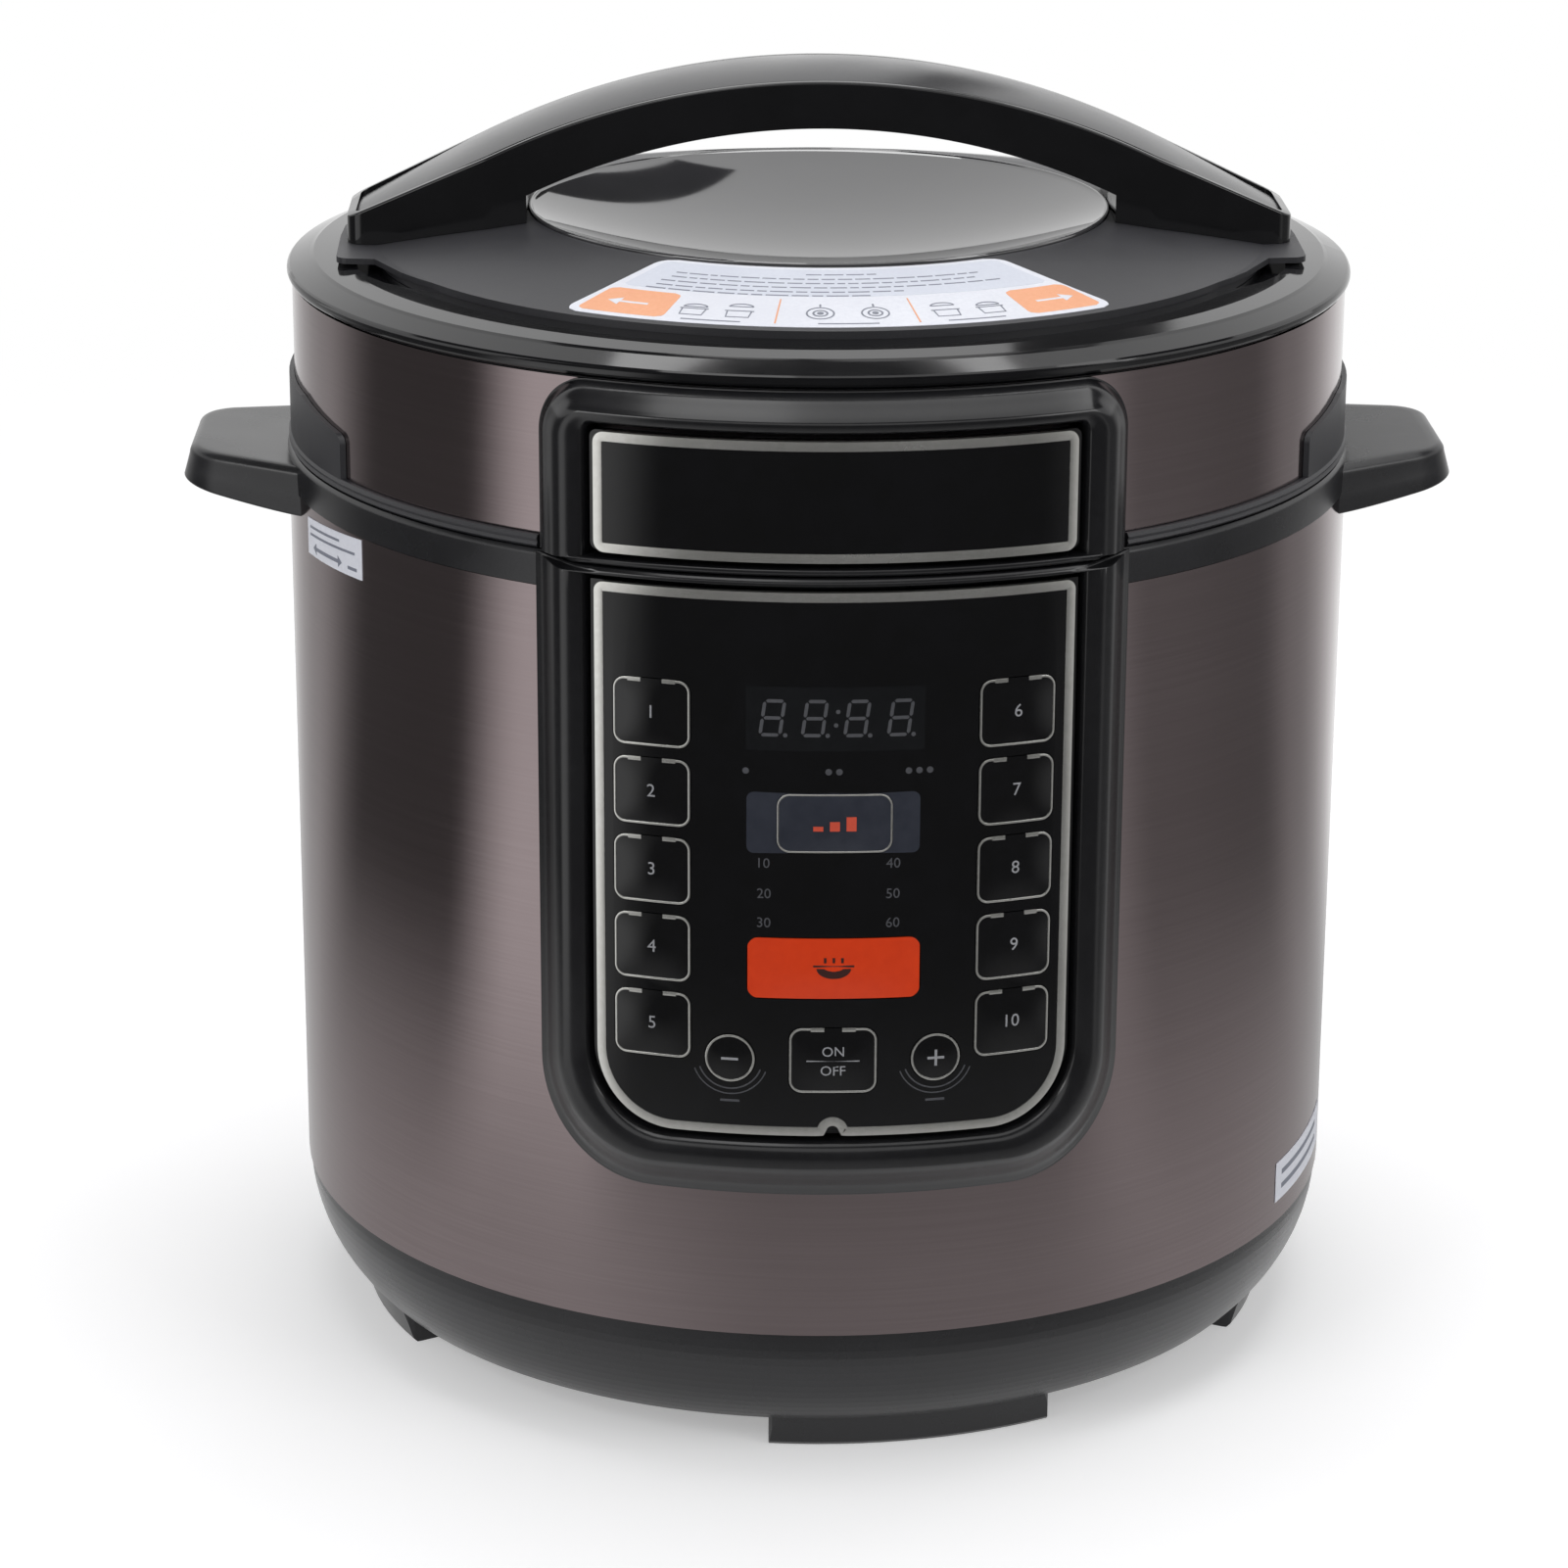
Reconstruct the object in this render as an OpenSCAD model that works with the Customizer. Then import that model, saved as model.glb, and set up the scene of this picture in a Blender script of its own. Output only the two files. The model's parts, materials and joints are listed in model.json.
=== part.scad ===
// Electric pressure cooker of about six litres, with a lid that turns and lifts off.
// Millimetres, +Z up. The origin is on the pot's axis, at the level that the feet rest on.
// The control panel faces -Y, the two ears point along X, the drip cup is at the back.

/* [Body] */
// Outer radius of the steel shell
shell_r = 140; // [139:0.5:141]
// Sheet thickness of the steel shell
shell_t = 0.8; // [0.5:0.1:1.2]
// Height of the shell's lower edge
shell_bottom = 38; // [37:0.5:39]
// Height of the seam between shell and collar
shell_top = 229.4; // [229:0.1:229.8]
// Height of the feet
foot_h = 9; // [8:0.5:10]
// Height of the collar's top, where the lid begins
collar_top = 238.2; // [238:0.1:238.3]

/* [Ears] */
// Reach of an ear from the axis
ear_reach = 167; // [160:1:172]
// Half width of an ear at its root
ear_root = 38; // [34:1:40]
// Half width of an ear at its tip
ear_tip = 29; // [26:1:32]
// Corner radius of an ear's tip
ear_corner = 10; // [8:1:14]

/* [Panel] */
// Half width of the panel frame, as an angle round the axis
frame_half = 30.7; // [30:0.1:31.5]
// Radius of the glossy window
window_r = 146.9; // [146.5:0.1:147.1]
// Half width of the bright line round the window
trim_half = 59.4; // [59:0.1:59.8]
// Width of the bright line
trim_w = 2.3; // [1.5:0.1:3]
// Inward travel of a key
key_travel = 0.5; // [0.3:0.1:0.5]
// Width and height of a function key
key_size = [19.4, 17];
// Angle of the two key columns from the front
key_column = 17.5; // [17:0.1:18]
// Height of the top function key's centre
key_top = 203; // [202:0.5:204]
// Step between two function keys
key_pitch = 20; // [19.5:0.1:20.2]

/* [Lid] */
// Outer radius of the lid's steel band
band_r = 138; // [137:0.5:138.5]
// Height of the lid's ring above the band
ring_bottom = 282; // [281.5:0.1:282.5]
// Radius of the matt plate
plate_r = 116.4; // [115:0.2:117]
// Radius of the glossy bowl's rim
bowl_r = 76; // [74:0.2:77]
// Height of the bowl's rim
bowl_top = 299; // [298.6:0.1:299.2]
// Depth of the bowl
bowl_depth = 14; // [10:1:18]

/* [Handle] */
// Radius of the handle's arched top
arch_r = 200; // [198:1:202]
// Height of the arch's centre
arch_z = 136.1; // [135:0.1:137]
// Half length of the handle
handle_half = 122.8; // [122:0.2:123.4]
// Width of the handle
handle_w = 44; // [40:1:46]
// Width of the handle at its ends
handle_end_w = 33; // [30:1:36]

/* [Pots] */
// Inner radius of the cooking pot
pot_r = 110; // [109:0.5:110]
// Wall of the cooking pot
pot_t = 1.5; // [1:0.1:2]
// Height of the cooking pot's underside
pot_bottom = 70.2; // [70.2:0.1:70.4]
// Height of the cooking pot's rim
pot_top = 221; // [220:0.2:221]
// Number of locking lugs on the lid and on the outer pot
lug_count = 6; // [6]
// Half angle of one lug
lug_half = 13.5; // [12:0.5:14]

/* [Hidden] */
$fn = 96;

plastic = [0.16, 0.16, 0.18];
gloss = [0.06, 0.06, 0.07];
satin = [0.30, 0.30, 0.33];
bronze = [0.38, 0.33, 0.33];
bright = [0.75, 0.75, 0.78];
alloy = [0.62, 0.63, 0.65];
green = [0.10, 0.35, 0.22];
silicone = [0.85, 0.85, 0.82];

gap = 0.3;
lid_bottom = collar_top + gap;
shell_in = shell_r - shell_t;
carrier_r = 143.1;
window_back = carrier_r + 0.1;
trim_back = 145.4;
window_bottom = 95.5;
window_top = 234.6;
window_corner = 20;
lid_window_low = 241.9;
lid_window_high = 271.5;
flange_z = 229;
flange_r = 128.2;
lug_in = 121.5;
lid_wall = 119;
lug_out = 126.5;
mm_per_deg = window_r * PI / 180;
tall = 400;
wide = 360;
valve_at = [-17, 98];
float_at = [17, 98];
pin_r = 2.5;
pipe_r = 4;
dome_top = 262;
dome_r = 520;
lid_t = 1.5;

function lerp(a, b, t) = a + (b - a) * t;
function arc(x, y, r, from, to, steps) =
  [for (i = [0:steps]) let (a = lerp(from, to, i / steps)) [x + r * cos(a), y + r * sin(a)]];
function on_ring(a, r, z) = [r * sin(a), -r * cos(a), z];
function dome_z(r) = dome_top - dome_r + sqrt(dome_r * dome_r - r * r);

// A ring of rectangular section
module ring(r_in, r_out, z0, z1) {
  rotate_extrude()
    translate([r_in, z0])
      square([r_out - r_in, z1 - z0]);
}

// Part of a ring, centred on an angle measured from the front
module ring_part(r_in, r_out, z0, z1, at, half) {
  rotate([0, 0, at - half - 90])
    rotate_extrude(angle = 2 * half)
      translate([r_in, z0])
        square([r_out - r_in, z1 - z0]);
}

module rounded_rect(x0, x1, y0, y1, r) {
  translate([x0 + r, y0])
    square([x1 - x0 - 2 * r, y1 - y0]);
  translate([x0, y0 + r])
    square([x1 - x0, y1 - y0 - 2 * r]);
  for (x = [x0 + r, x1 - r], y = [y0 + r, y1 - r])
    translate([x, y])
      circle(r);
}

// Outline of the control panel: square at the top, rounded at the bottom
module panel_outline(half, z0, z1, r) {
  translate([-half, z0 + r])
    square([2 * half, z1 - z0 - r]);
  translate([r - half, z0])
    square([2 * (half - r), r]);
  for (s = [-1, 1])
    translate([s * (half - r), z0 + r])
      circle(r);
}

// Carries an outline in X and Z towards the front
module to_front() {
  rotate([90, 0, 0])
    linear_extrude(wide / 2)
      children();
}

// The frame of the panel, swept round a rounded loop on the shell. Each station of the
// loop is [distance round the shell, height, 1 on the square end or 0 elsewhere].
function frame_loop(half, z_round, z_square, r) =
  let (s = sign(z_square - z_round))
  concat(
    [for (i = [0:2]) [-half, lerp(z_square, z_round + s * r, i / 3), 0]],
    [for (i = [0:8]) [-half + r - r * cos(i * 11.25), z_round + s * (r - r * sin(i * 11.25)), 0]],
    [for (i = [1:12]) [lerp(r - half, half - r, i / 13), z_round, 0]],
    [for (i = [0:8]) [half - r + r * sin(i * 11.25), z_round + s * (r - r * cos(i * 11.25)), 0]],
    [for (i = [1:3]) [half, lerp(z_round + s * r, z_square, i / 3), 0]],
    [for (i = [1:12]) [lerp(half, -half, i / 13), z_square, 1]]
  );

// Section of the frame: [fraction from inner to outer edge, radius, radius at the square end]
function frame_section(low, back) = [
  [0, 145.4, 145.4], [0.05, 146.7, 146.7], [0.14, 147.6, 147.4], [0.3, 148, 147.5],
  [0.45, 147.2, 147.5], [0.64, 144.9, 147.3], [0.82, 142.6, 147], [0.95, low + 0.4, 146.6],
  [1, low, 146], [1, back, back], [0, back, back]
];

module swept_frame(inner, outer, section) {
  n = len(inner);
  m = len(section);
  way = outer[14][1] < inner[14][1] ? 1 : -1;
  points = [for (k = [0:n - 1], j = [0:m - 1])
    let (
      p = lerp(inner[k], outer[k], section[j][0]),
      r = lerp(section[j][1], section[j][2], inner[k][2])
    )
    on_ring(p[0] / mm_per_deg, r, p[1])];
  quads = [for (k = [0:n - 1], j = [0:m - 1])
    let (k2 = (k + 1) % n, j2 = (j + 1) % m)
    [k * m + j, k2 * m + j, k2 * m + j2, k * m + j2]];
  faces = [for (q = quads, t = [0, 1])
    let (f = [q[0], q[1 + t], q[2 + t]])
    way > 0 ? f : [f[0], f[2], f[1]]];
  polyhedron(points, faces);
}

// ---- base ----

housing_arc_r = 40;
housing_arc_x = shell_r - 0.5 - housing_arc_r;
housing_wall = 2.5;
housing_end = asin((shell_bottom - foot_h) / housing_arc_r);
inlet_x = 132;
inlet_y = [22, 66];
inlet_z = [11, 35];

boss_r = 98;
power_z = 24;
board_holes = [for (x = [-40, 40], y = [42, 82]) [x, y]];

module inlet_block(grow, outward) {
  translate([112, inlet_y[0] - grow, inlet_z[0] - grow])
    cube([inlet_x - 112 + outward, inlet_y[1] - inlet_y[0] + 2 * grow,
      inlet_z[1] - inlet_z[0] + 2 * grow]);
}

module base_housing() {
  outer = arc(housing_arc_x, shell_bottom, housing_arc_r, 0, -housing_end, 14);
  inner = arc(housing_arc_x, shell_bottom, housing_arc_r - housing_wall, -housing_end, 0, 14);
  color(plastic)
    difference() {
      rotate_extrude()
        polygon(concat(outer, [[112.2, foot_h], [112.2, foot_h + 2]], inner,
          [[136.2, 44], [shell_in - 0.2, 44], [shell_in - 0.2, shell_bottom]]));
      inlet_block(0.1, 20);
    }
}

module bottom_cover() {
  color(plastic)
    difference() {
      union() {
        ring(0, 112, foot_h, foot_h + 2);
        for (a = [0:90:270])
          rotate([0, 0, a + 15])
            translate([boss_r, 0, foot_h + 1])
              cylinder(r = 6, h = 58.7 - foot_h - 1);
        for (at = board_holes)
          translate([at[0], at[1], foot_h + 1]) {
            cylinder(r = 3.5, h = power_z - foot_h - 1);
            cylinder(r = 1.7, h = power_z - foot_h + 1);
          }
      }
      for (a = [0:90:270])
        rotate([0, 0, a + 15])
          translate([boss_r, 0, 0]) {
            cylinder(r = 1.6, h = 60);
            cylinder(r = 4.5, h = foot_h + 1.2);
          }
      for (a = [0:90:270], row = [0:4])
        rotate([0, 0, a + 75])
          translate([40 + 9 * row, -14, 0])
            cube([3, 28, foot_h + 2.1]);
    }
}

// Plan of a foot: part of a ring with rounded corners, as [radius, angle] turned into [x, y]
function foot_plan(half) =
  let (
    c = 4.2,
    round_off = [for (i = [0:4]) [c - c * cos(i * 22.5), c - c * sin(i * 22.5)]],
    outer = [for (q = round_off) [126.8 - q[0], half - q[1] / 2.17]],
    inner = [for (i = [4:-1:0]) [112.8 + round_off[i][0], half - round_off[i][1] / 2]],
    side = concat(
      [for (i = [0:3]) [126.8, (half - 2) * i / 4]], outer, inner,
      [for (i = [3:-1:0]) [112.8, (half - 2) * i / 4]])
  )
  concat(
    [for (q = side) q[0] * [cos(q[1]), sin(q[1])]],
    [for (i = [len(side) - 2:-1:1]) side[i][0] * [cos(side[i][1]), -sin(side[i][1])]]);

// Four arc-shaped feet, tapered towards the ground
module feet() {
  color(plastic)
    for (foot = [[10.5, 17.5], [-79, 18], [81.5, 17.5], [190.5, 17.5]])
      rotate([0, 0, foot[0] - 90])
        intersection() {
          rotate_extrude()
            polygon([[114.5, 0], [123.5, 0], [124.5, 1], [126.6, foot_h], [113, foot_h]]);
          linear_extrude(foot_h)
            polygon(foot_plan(foot[1]));
        }
}

module screw(r_head, head, r, length) {
  cylinder(r = r_head, h = head);
  cylinder(r = r, h = length);
}

module base_screws() {
  color(bright)
    for (a = [0:90:270])
      rotate([0, 0, a + 15])
        translate([boss_r, 0, foot_h])
          difference() {
            screw(4.2, 1.2, 1.6, 22);
            translate([0, 0, -0.5])
              cylinder(r = 1.2, h = 1.3, $fn = 24);
          }
}

module shell_opening(grow) {
  to_front()
    panel_outline(60.2 + grow, 93.8 - grow, shell_top + 1, window_corner);
}

module outer_shell() {
  color(bronze)
    difference() {
      ring(shell_in, shell_r, shell_bottom + 0.2, shell_top - 0.2);
      shell_opening(0);
    }
}

module ear(side) {
  profile = concat(
    [[136, collar_top - 1.7]], arc(ear_reach - 1.8, 236.7, 1.8, 85, 0, 4),
    arc(ear_reach - 2.1, 230.9, 1.8, -10, -80, 4), [[152, 227.4], [141, 224.6], [136, 224]]);
  mirror([side < 0 ? 1 : 0, 0, 0])
    difference() {
      intersection() {
        rotate([90, 0, 0])
          linear_extrude(2 * ear_root, center = true)
            polygon(profile);
        linear_extrude(tall)
          hull() {
            translate([134, -ear_root])
              square([1, 2 * ear_root]);
            for (s = [-1, 1])
              translate([ear_reach - ear_corner, s * (ear_tip - ear_corner)])
                circle(ear_corner);
          }
      }
      cylinder(r = shell_r + 0.1, h = shell_top);
    }
}

module upper_collar() {
  color(plastic) {
    rotate_extrude()
      polygon([
        [shell_in - 0.3, 214], [shell_in - 0.3, shell_top - 0.1], [shell_r + 0.3, shell_top],
        [shell_r + 0.3, collar_top - 1.2], [shell_r - 0.6, collar_top], [129.5, collar_top],
        [129.5, 235.8], [134.2, 235.8], [134.2, 230.3], [129.5, 230.3], [129.5, 227.8],
        [136, 227.8], [136, 214]
      ]);
    for (side = [-1, 1])
      ear(side);
  }
}

// The pot that the cooking pot stands in, with the lugs that hold the lid down
module outer_pot() {
  color(alloy) {
    difference() {
      rotate_extrude()
        polygon([
          [0, 58.8], [104, 58.8], [112, 63], [114.7, 70], [114.7, 212], [flange_r, 212],
          [flange_r, 230.5], [133.6, 230.5], [133.6, 232], [flange_r - 1.4, 232],
          [flange_r - 1.4, 213.2], [113.5, 213.2], [113.5, 70.4], [111, 64.6], [103.4, 60],
          [0, 60]
        ]);
      cylinder(r = 13, h = 80);
    }
    for (i = [0:lug_count - 1])
      ring_part(lug_in, flange_r - 1, flange_z, 232, i * 360 / lug_count, lug_half);
  }
}

module heating_plate() {
  color(alloy)
    difference() {
      rotate_extrude()
        polygon(concat([[13.2, 60.1], [88, 60.1], [90, 62]], [[90, 68]],
          arc(88, 68, 2, 0, 90, 4), [[13.2, 70]]));
      for (a = [0:120:240])
        rotate([0, 0, a])
          translate([60, 0, 50])
            cylinder(r = 2.2, h = 16);
    }
}

module temperature_sensor() {
  color(alloy)
    rotate_extrude()
      polygon([
        [0, 44], [4, 44], [4, 55], [16, 55], [16, 56.6], [11.5, 56.6], [11.5, 69.4],
        [10.8, 70.15], [0, 70.15]
      ]);
}

// Coil under the sensor: one ring of six points every 30 degrees of the turn
module sensor_spring() {
  turns = 4;
  steps = turns * 12;
  sides = 6;
  wire = 0.6;
  points = [for (i = [0:steps], j = [0:sides - 1])
    let (a = i * 30, b = j * 60, r = 6.5 + wire * cos(b))
    [r * cos(a), r * sin(a), lerp(45.4, 54.2, i / steps) + wire * sin(b)]];
  walls = [for (i = [0:steps - 1], j = [0:sides - 1], t = [0, 1])
    let (j2 = (j + 1) % sides, p = i * sides, q = p + sides)
    t == 0 ? [p + j, p + j2, q + j2] : [p + j, q + j2, q + j]];
  ends = [[for (j = [0:sides - 1]) sides - 1 - j], [for (j = [0:sides - 1]) steps * sides + j]];
  color(bright)
    polyhedron(points, concat(walls, ends));
}

module pressure_switch() {
  color(bright) {
    difference() {
      union() {
        translate([-22, -26, 42.4])
          cube([44, 52, 2]);
        for (y = [-28, 26])
          translate([-22, y, 42.4])
            cube([44, 2, 16.4]);
      }
      translate([0, 0, 40])
        cylinder(r = 4.4, h = 10);
    }
    translate([24, -8, 46])
      cube([14, 16, 12.7]);
  }
}

module power_board() {
  color(green)
    difference() {
      translate([-45, 37, power_z])
        cube([90, 50, 1.6]);
      for (at = board_holes)
        translate([at[0], at[1], power_z - 4])
          cylinder(r = 1.8, h = 10);
    }
  color(plastic)
    translate([0, 0, power_z + 1.6]) {
      translate([-32, 47, 0])
        cube([28, 24, 20]);
      translate([2, 47, 0])
        cube([16, 20, 15]);
      for (x = [26, 36])
        translate([x, 58, 0])
          cylinder(r = 4, h = 14);
    }
}

function key_z(row) = key_top - row * key_pitch;
// Every small key: [angle, height, kind]
round_keys = [[-9.9, 115.4], [9.9, 115.4]];
cancel_z = 115.4;
upper_bar_z = 176.8;
lower_bar_z = 139.4;
switch_places = concat(
  [for (s = [-1, 1], row = [0:4]) [s * key_column, key_z(row)]],
  round_keys,
  [[0, cancel_z], [0, upper_bar_z], [0, lower_bar_z]]);
board_y = -120;
control_holes = [[-48, 104], [48, 104], [-30, 205], [30, 205]];

module control_board() {
  color(green)
    difference() {
      translate([-52, board_y, 100])
        cube([104, 1.6, 110]);
      for (at = control_holes)
        translate([at[0], board_y + 5, at[1]])
          rotate([90, 0, 0])
            cylinder(r = 1.7, h = 10);
    }
  color(gloss)
    for (place = switch_places)
      translate([window_r * sin(place[0]), board_y, place[1]])
        rotate([90, 0, 0])
          cylinder(r = 3, h = 4);
}

module display_module() {
  color(gloss)
    translate([-24, -141, 194])
      cube([48, 141 + board_y, 16]);
}

module display_room(grow) {
  translate([-24 - grow, -150, 194 - grow])
    cube([48 + 2 * grow, 24, 16 + 2 * grow]);
}

module button_carrier() {
  color(plastic) {
    difference() {
      union() {
        intersection() {
          ring(137, shell_r + 0.3, 94, 213.5);
          to_front()
            panel_outline(60, 94, 213.5, window_corner);
        }
        intersection() {
          ring(shell_r - 0.7, carrier_r, 94, 229.2);
          to_front()
            panel_outline(57, 94.6, 229.2, window_corner);
        }
      }
      display_room(0.2);
    }
    for (at = control_holes)
      translate([at[0], board_y, at[1]])
        rotate([90, 0, 0]) {
          cylinder(r = 3.5, h = sqrt(138 * 138 - at[0] * at[0]) + board_y);
          translate([0, 0, -1.5])
            cylinder(r = 1.6, h = 4);
        }
    for (place = switch_places)
      translate([window_r * sin(place[0]), board_y - 4.3, place[1]])
        rotate([90, 0, 0])
          cylinder(r = 2, h = sqrt(138 * 138 - pow(window_r * sin(place[0]), 2)) + board_y - 4.3);
  }
}

module panel_surround() {
  inner = frame_loop(62.3, 93.7, 236, 21);
  outer = frame_loop(frame_half * mm_per_deg, 77.2, collar_top, 31);
  color(satin)
    swept_frame(inner, outer, frame_section(shell_r + 1, shell_r + 0.55));
}

// A key outline on the front, in X and Z about its own centre
module key_outline(kind, grow) {
  size = kind == "cancel" ? [21.5, 17] : kind == "upper" ? [28, 15] :
    kind == "lower" ? [42, 15.6] : key_size;
  if (kind == "round")
    circle(6.2 + grow, $fn = 48);
  else
    rounded_rect(-size[0] / 2 - grow, size[0] / 2 + grow, -size[1] / 2 - grow,
      size[1] / 2 + grow, 3.2 + grow);
}

module key_prism(kind, angle, z, grow) {
  rotate([0, 0, angle])
    translate([0, 0, z])
      to_front()
        key_outline(kind, grow, $fn = 32);
}

// One key: a slightly raised cap that slides in a hole of the window
module key(kind, angle, z) {
  color(kind == "lower" ? [0.85, 0.28, 0.1] : gloss)
    intersection() {
      key_prism(kind, angle, z, 0);
      ring(window_back + key_travel, window_r + 0.6, z - 12, z + 12);
    }
}

module panel_window() {
  color(gloss)
    difference() {
      union() {
        intersection() {
          ring(window_back, window_r, window_bottom, window_top);
          to_front()
            panel_outline(trim_half - trim_w - 0.05, window_bottom + trim_w + 0.05,
              window_top - trim_w - 0.05, window_corner - trim_w);
        }
        intersection() {
          ring(window_back, trim_back - 0.05, window_bottom, window_top);
          to_front()
            panel_outline(trim_half - 0.8, window_bottom + 0.9, window_top, window_corner - 1);
        }
      }
      for (s = [-1, 1], row = [0:4])
        key_prism("function", s * key_column, key_z(row), 0.25);
      for (place = round_keys)
        key_prism("round", place[0], place[1], 0.25);
      key_prism("cancel", 0, cancel_z, 0.25);
      key_prism("upper", 0, upper_bar_z, 0.25);
      key_prism("lower", 0, lower_bar_z, 0.25);
    }
}

module panel_trim() {
  color(bright)
    difference() {
      intersection() {
        ring(trim_back, window_r + 0.2, window_bottom, window_top);
        to_front()
          panel_outline(trim_half, window_bottom, window_top, window_corner);
      }
      to_front()
        panel_outline(trim_half - trim_w, window_bottom + trim_w, window_top - trim_w,
          window_corner - trim_w);
    }
}

// Three-pin appliance socket in its own block low on the right side
module power_inlet() {
  y = (inlet_y[0] + inlet_y[1]) / 2;
  z = (inlet_z[0] + inlet_z[1]) / 2;
  color(plastic)
    difference() {
      inlet_block(0, 0);
      translate([inlet_x - 16, 0, 0])
        rotate([90, 0, 90])
          linear_extrude(20)
            polygon([[y - 12, z - 8], [y + 12, z - 8], [y + 12, z + 3], [y + 7, z + 8],
              [y - 7, z + 8], [y - 12, z + 3]]);
    }
  color(bright)
    for (pin = [[-7, -2], [0, 2.5], [7, -2]])
      translate([inlet_x - 17, y + pin[0] - 1, z + pin[1] - 2])
        cube([13, 2, 4]);
}

cup_w = 62;
cup_z = [184, 222];
cup_out = 151;

module cup_bracket() {
  color(plastic) {
    intersection() {
      ring(shell_r + 0.1, shell_r + 1.9, cup_z[0] - 3, cup_z[1] + 6);
      translate([-cup_w / 2 - 4, 0, 0])
        cube([cup_w + 8, wide, tall]);
    }
    intersection() {
      ring(shell_r + 0.2, cup_out - 1, cup_z[1] + 2, cup_z[1] + 5);
      translate([-cup_w / 2, 0, 0])
        cube([cup_w, wide, tall]);
    }
  }
}

// Clear cup that catches the water running off the collar
module condensation_cup() {
  color([0.8, 0.85, 0.9, 0.5])
    difference() {
      intersection() {
        ring(shell_r + 2.2, 190, cup_z[0], cup_z[1]);
        translate([-cup_w / 2, 0, 0])
          cube([cup_w, cup_out, tall]);
      }
      intersection() {
        ring(shell_r + 3.7, 190, cup_z[0] + 1.5, cup_z[1] + 1);
        translate([1.5 - cup_w / 2, 0, 0])
          cube([cup_w - 3, cup_out - 1.5, tall]);
      }
    }
}

// ---- pots and seal ----

module inner_pot() {
  low = pot_bottom;
  r = pot_r + pot_t;
  outer = concat([[0, low]], arc(r - 20, low + 20, 20, -90, 0, 10),
    arc(r + 4, pot_top - 5.5, 4, 180, 90, 6), [[117, pot_top - pot_t]]);
  inner = concat([[117, pot_top]], arc(r + 4, pot_top - 5.5, 4 + pot_t, 90, 180, 6),
    arc(r - 20, low + 20, 20 - pot_t, 0, -90, 10), [[0, low + pot_t]]);
  color(alloy)
    rotate_extrude()
      polygon(concat(outer, inner));
}

module sealing_ring() {
  color(silicone)
    rotate_extrude()
      polygon([
        [109.4, 222.4], [111.2, 221.3], [117.1, 221.3], [117.1, 231], [114.6, 231.6],
        [112, 230.6], [112, 226.6], [114.6, 225.2], [114.6, 224], [111.6, 224], [110.4, 226],
        [109.4, 225.2]
      ]);
}

// ---- lid ----

module lid_skirt() {
  color(plastic) {
    difference() {
      rotate_extrude()
        polygon([
          [122, lid_bottom + 0.1], [136.5, lid_bottom + 0.1], [139.2, lid_bottom],
          [139.9, lid_bottom + 0.7], [139.5, lid_bottom + 1.5], [139.9, lid_bottom + 2.3],
          [139.3, lid_bottom + 3.2], [137, lid_bottom + 3.2], [137, ring_bottom - 0.2],
          [134.5, ring_bottom - 0.2], [134.5, lid_bottom + 2.5], [122, lid_bottom + 2.5]
        ]);
      ring_part(band_r + 0.2, 142, lid_bottom - 1, lid_bottom + 4, 0, frame_half + 0.2);
    }
    intersection() {
      ring(136, carrier_r, lid_window_low, lid_window_high);
      to_front()
        rounded_rect(-56.7, 56.7, lid_window_low, lid_window_high, 2);
    }
    for (side = [-1, 1])
      lid_tab(side);
  }
}

// Shield on the lid's band above an ear
module lid_tab(side) {
  mirror([side < 0 ? 1 : 0, 0, 0])
    intersection() {
      ring(band_r + 0.1, band_r + 1.4, lid_bottom + 3, 260);
      rotate([90, 0, 90])
        linear_extrude(wide / 2)
          hull() {
            translate([-66.7, lid_bottom + 3])
              square([133.4, 6]);
            for (s = [-1, 1]) {
              translate([s * 63.9, 250.4])
                circle(2.8);
              translate([s * 38, 253.6])
                circle(3);
            }
          }
    }
}

module lid_band() {
  color(bronze)
    difference() {
      ring(band_r - shell_t, band_r, lid_bottom + 3.4, ring_bottom - 0.3);
      to_front()
        rounded_rect(-56.9, 56.9, lid_window_low - 0.2, lid_window_high + 0.2, 2.2);
    }
}

// Pocket beside a plate ear, drawn on the ring's top as [angle, radius]
function pocket(side, way) =
  [for (p = [[56, 116.6], [58.5, 118.6], [61.5, 120.6], [65, 122.6], [69, 123.8], [73, 124],
      [76, 123], [76, 114], [56, 114]])
    let (a = side * (90 - way * (90 - p[0]))) [p[1] * sin(a), -p[1] * cos(a)]];

module lid_ring() {
  top = concat(arc(137.5, ring_bottom + 2, 1.8, -60, 55, 6),
    [[133.2, ring_bottom + 5.6], [132.2, ring_bottom + 6.1], [126, ring_bottom + 6.8],
      [plate_r + 0.3, ring_bottom + 7.2]]);
  color(gloss)
    difference() {
      rotate_extrude()
        polygon(concat([[134.4, ring_bottom]], top, [
          [plate_r + 0.3, ring_bottom + 5.2], [110, ring_bottom + 5.2],
          [110, ring_bottom + 3.4], [128, ring_bottom + 3.4]
        ]));
      for (side = [-1, 1], way = [-1, 1])
        translate([0, 0, ring_bottom + 5.3])
          linear_extrude(10)
            polygon(pocket(side, way));
      intersection() {
        translate([0, 0, 270])
          linear_extrude(30)
            recess_plan(2.1);
        cylinder(r = plate_r + 0.1, h = tall);
      }
    }
}

function plate_z(r) = bowl_top - 0.8 - 7.1 * pow((r - bowl_r) / (plate_r - bowl_r), 1.15);

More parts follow.
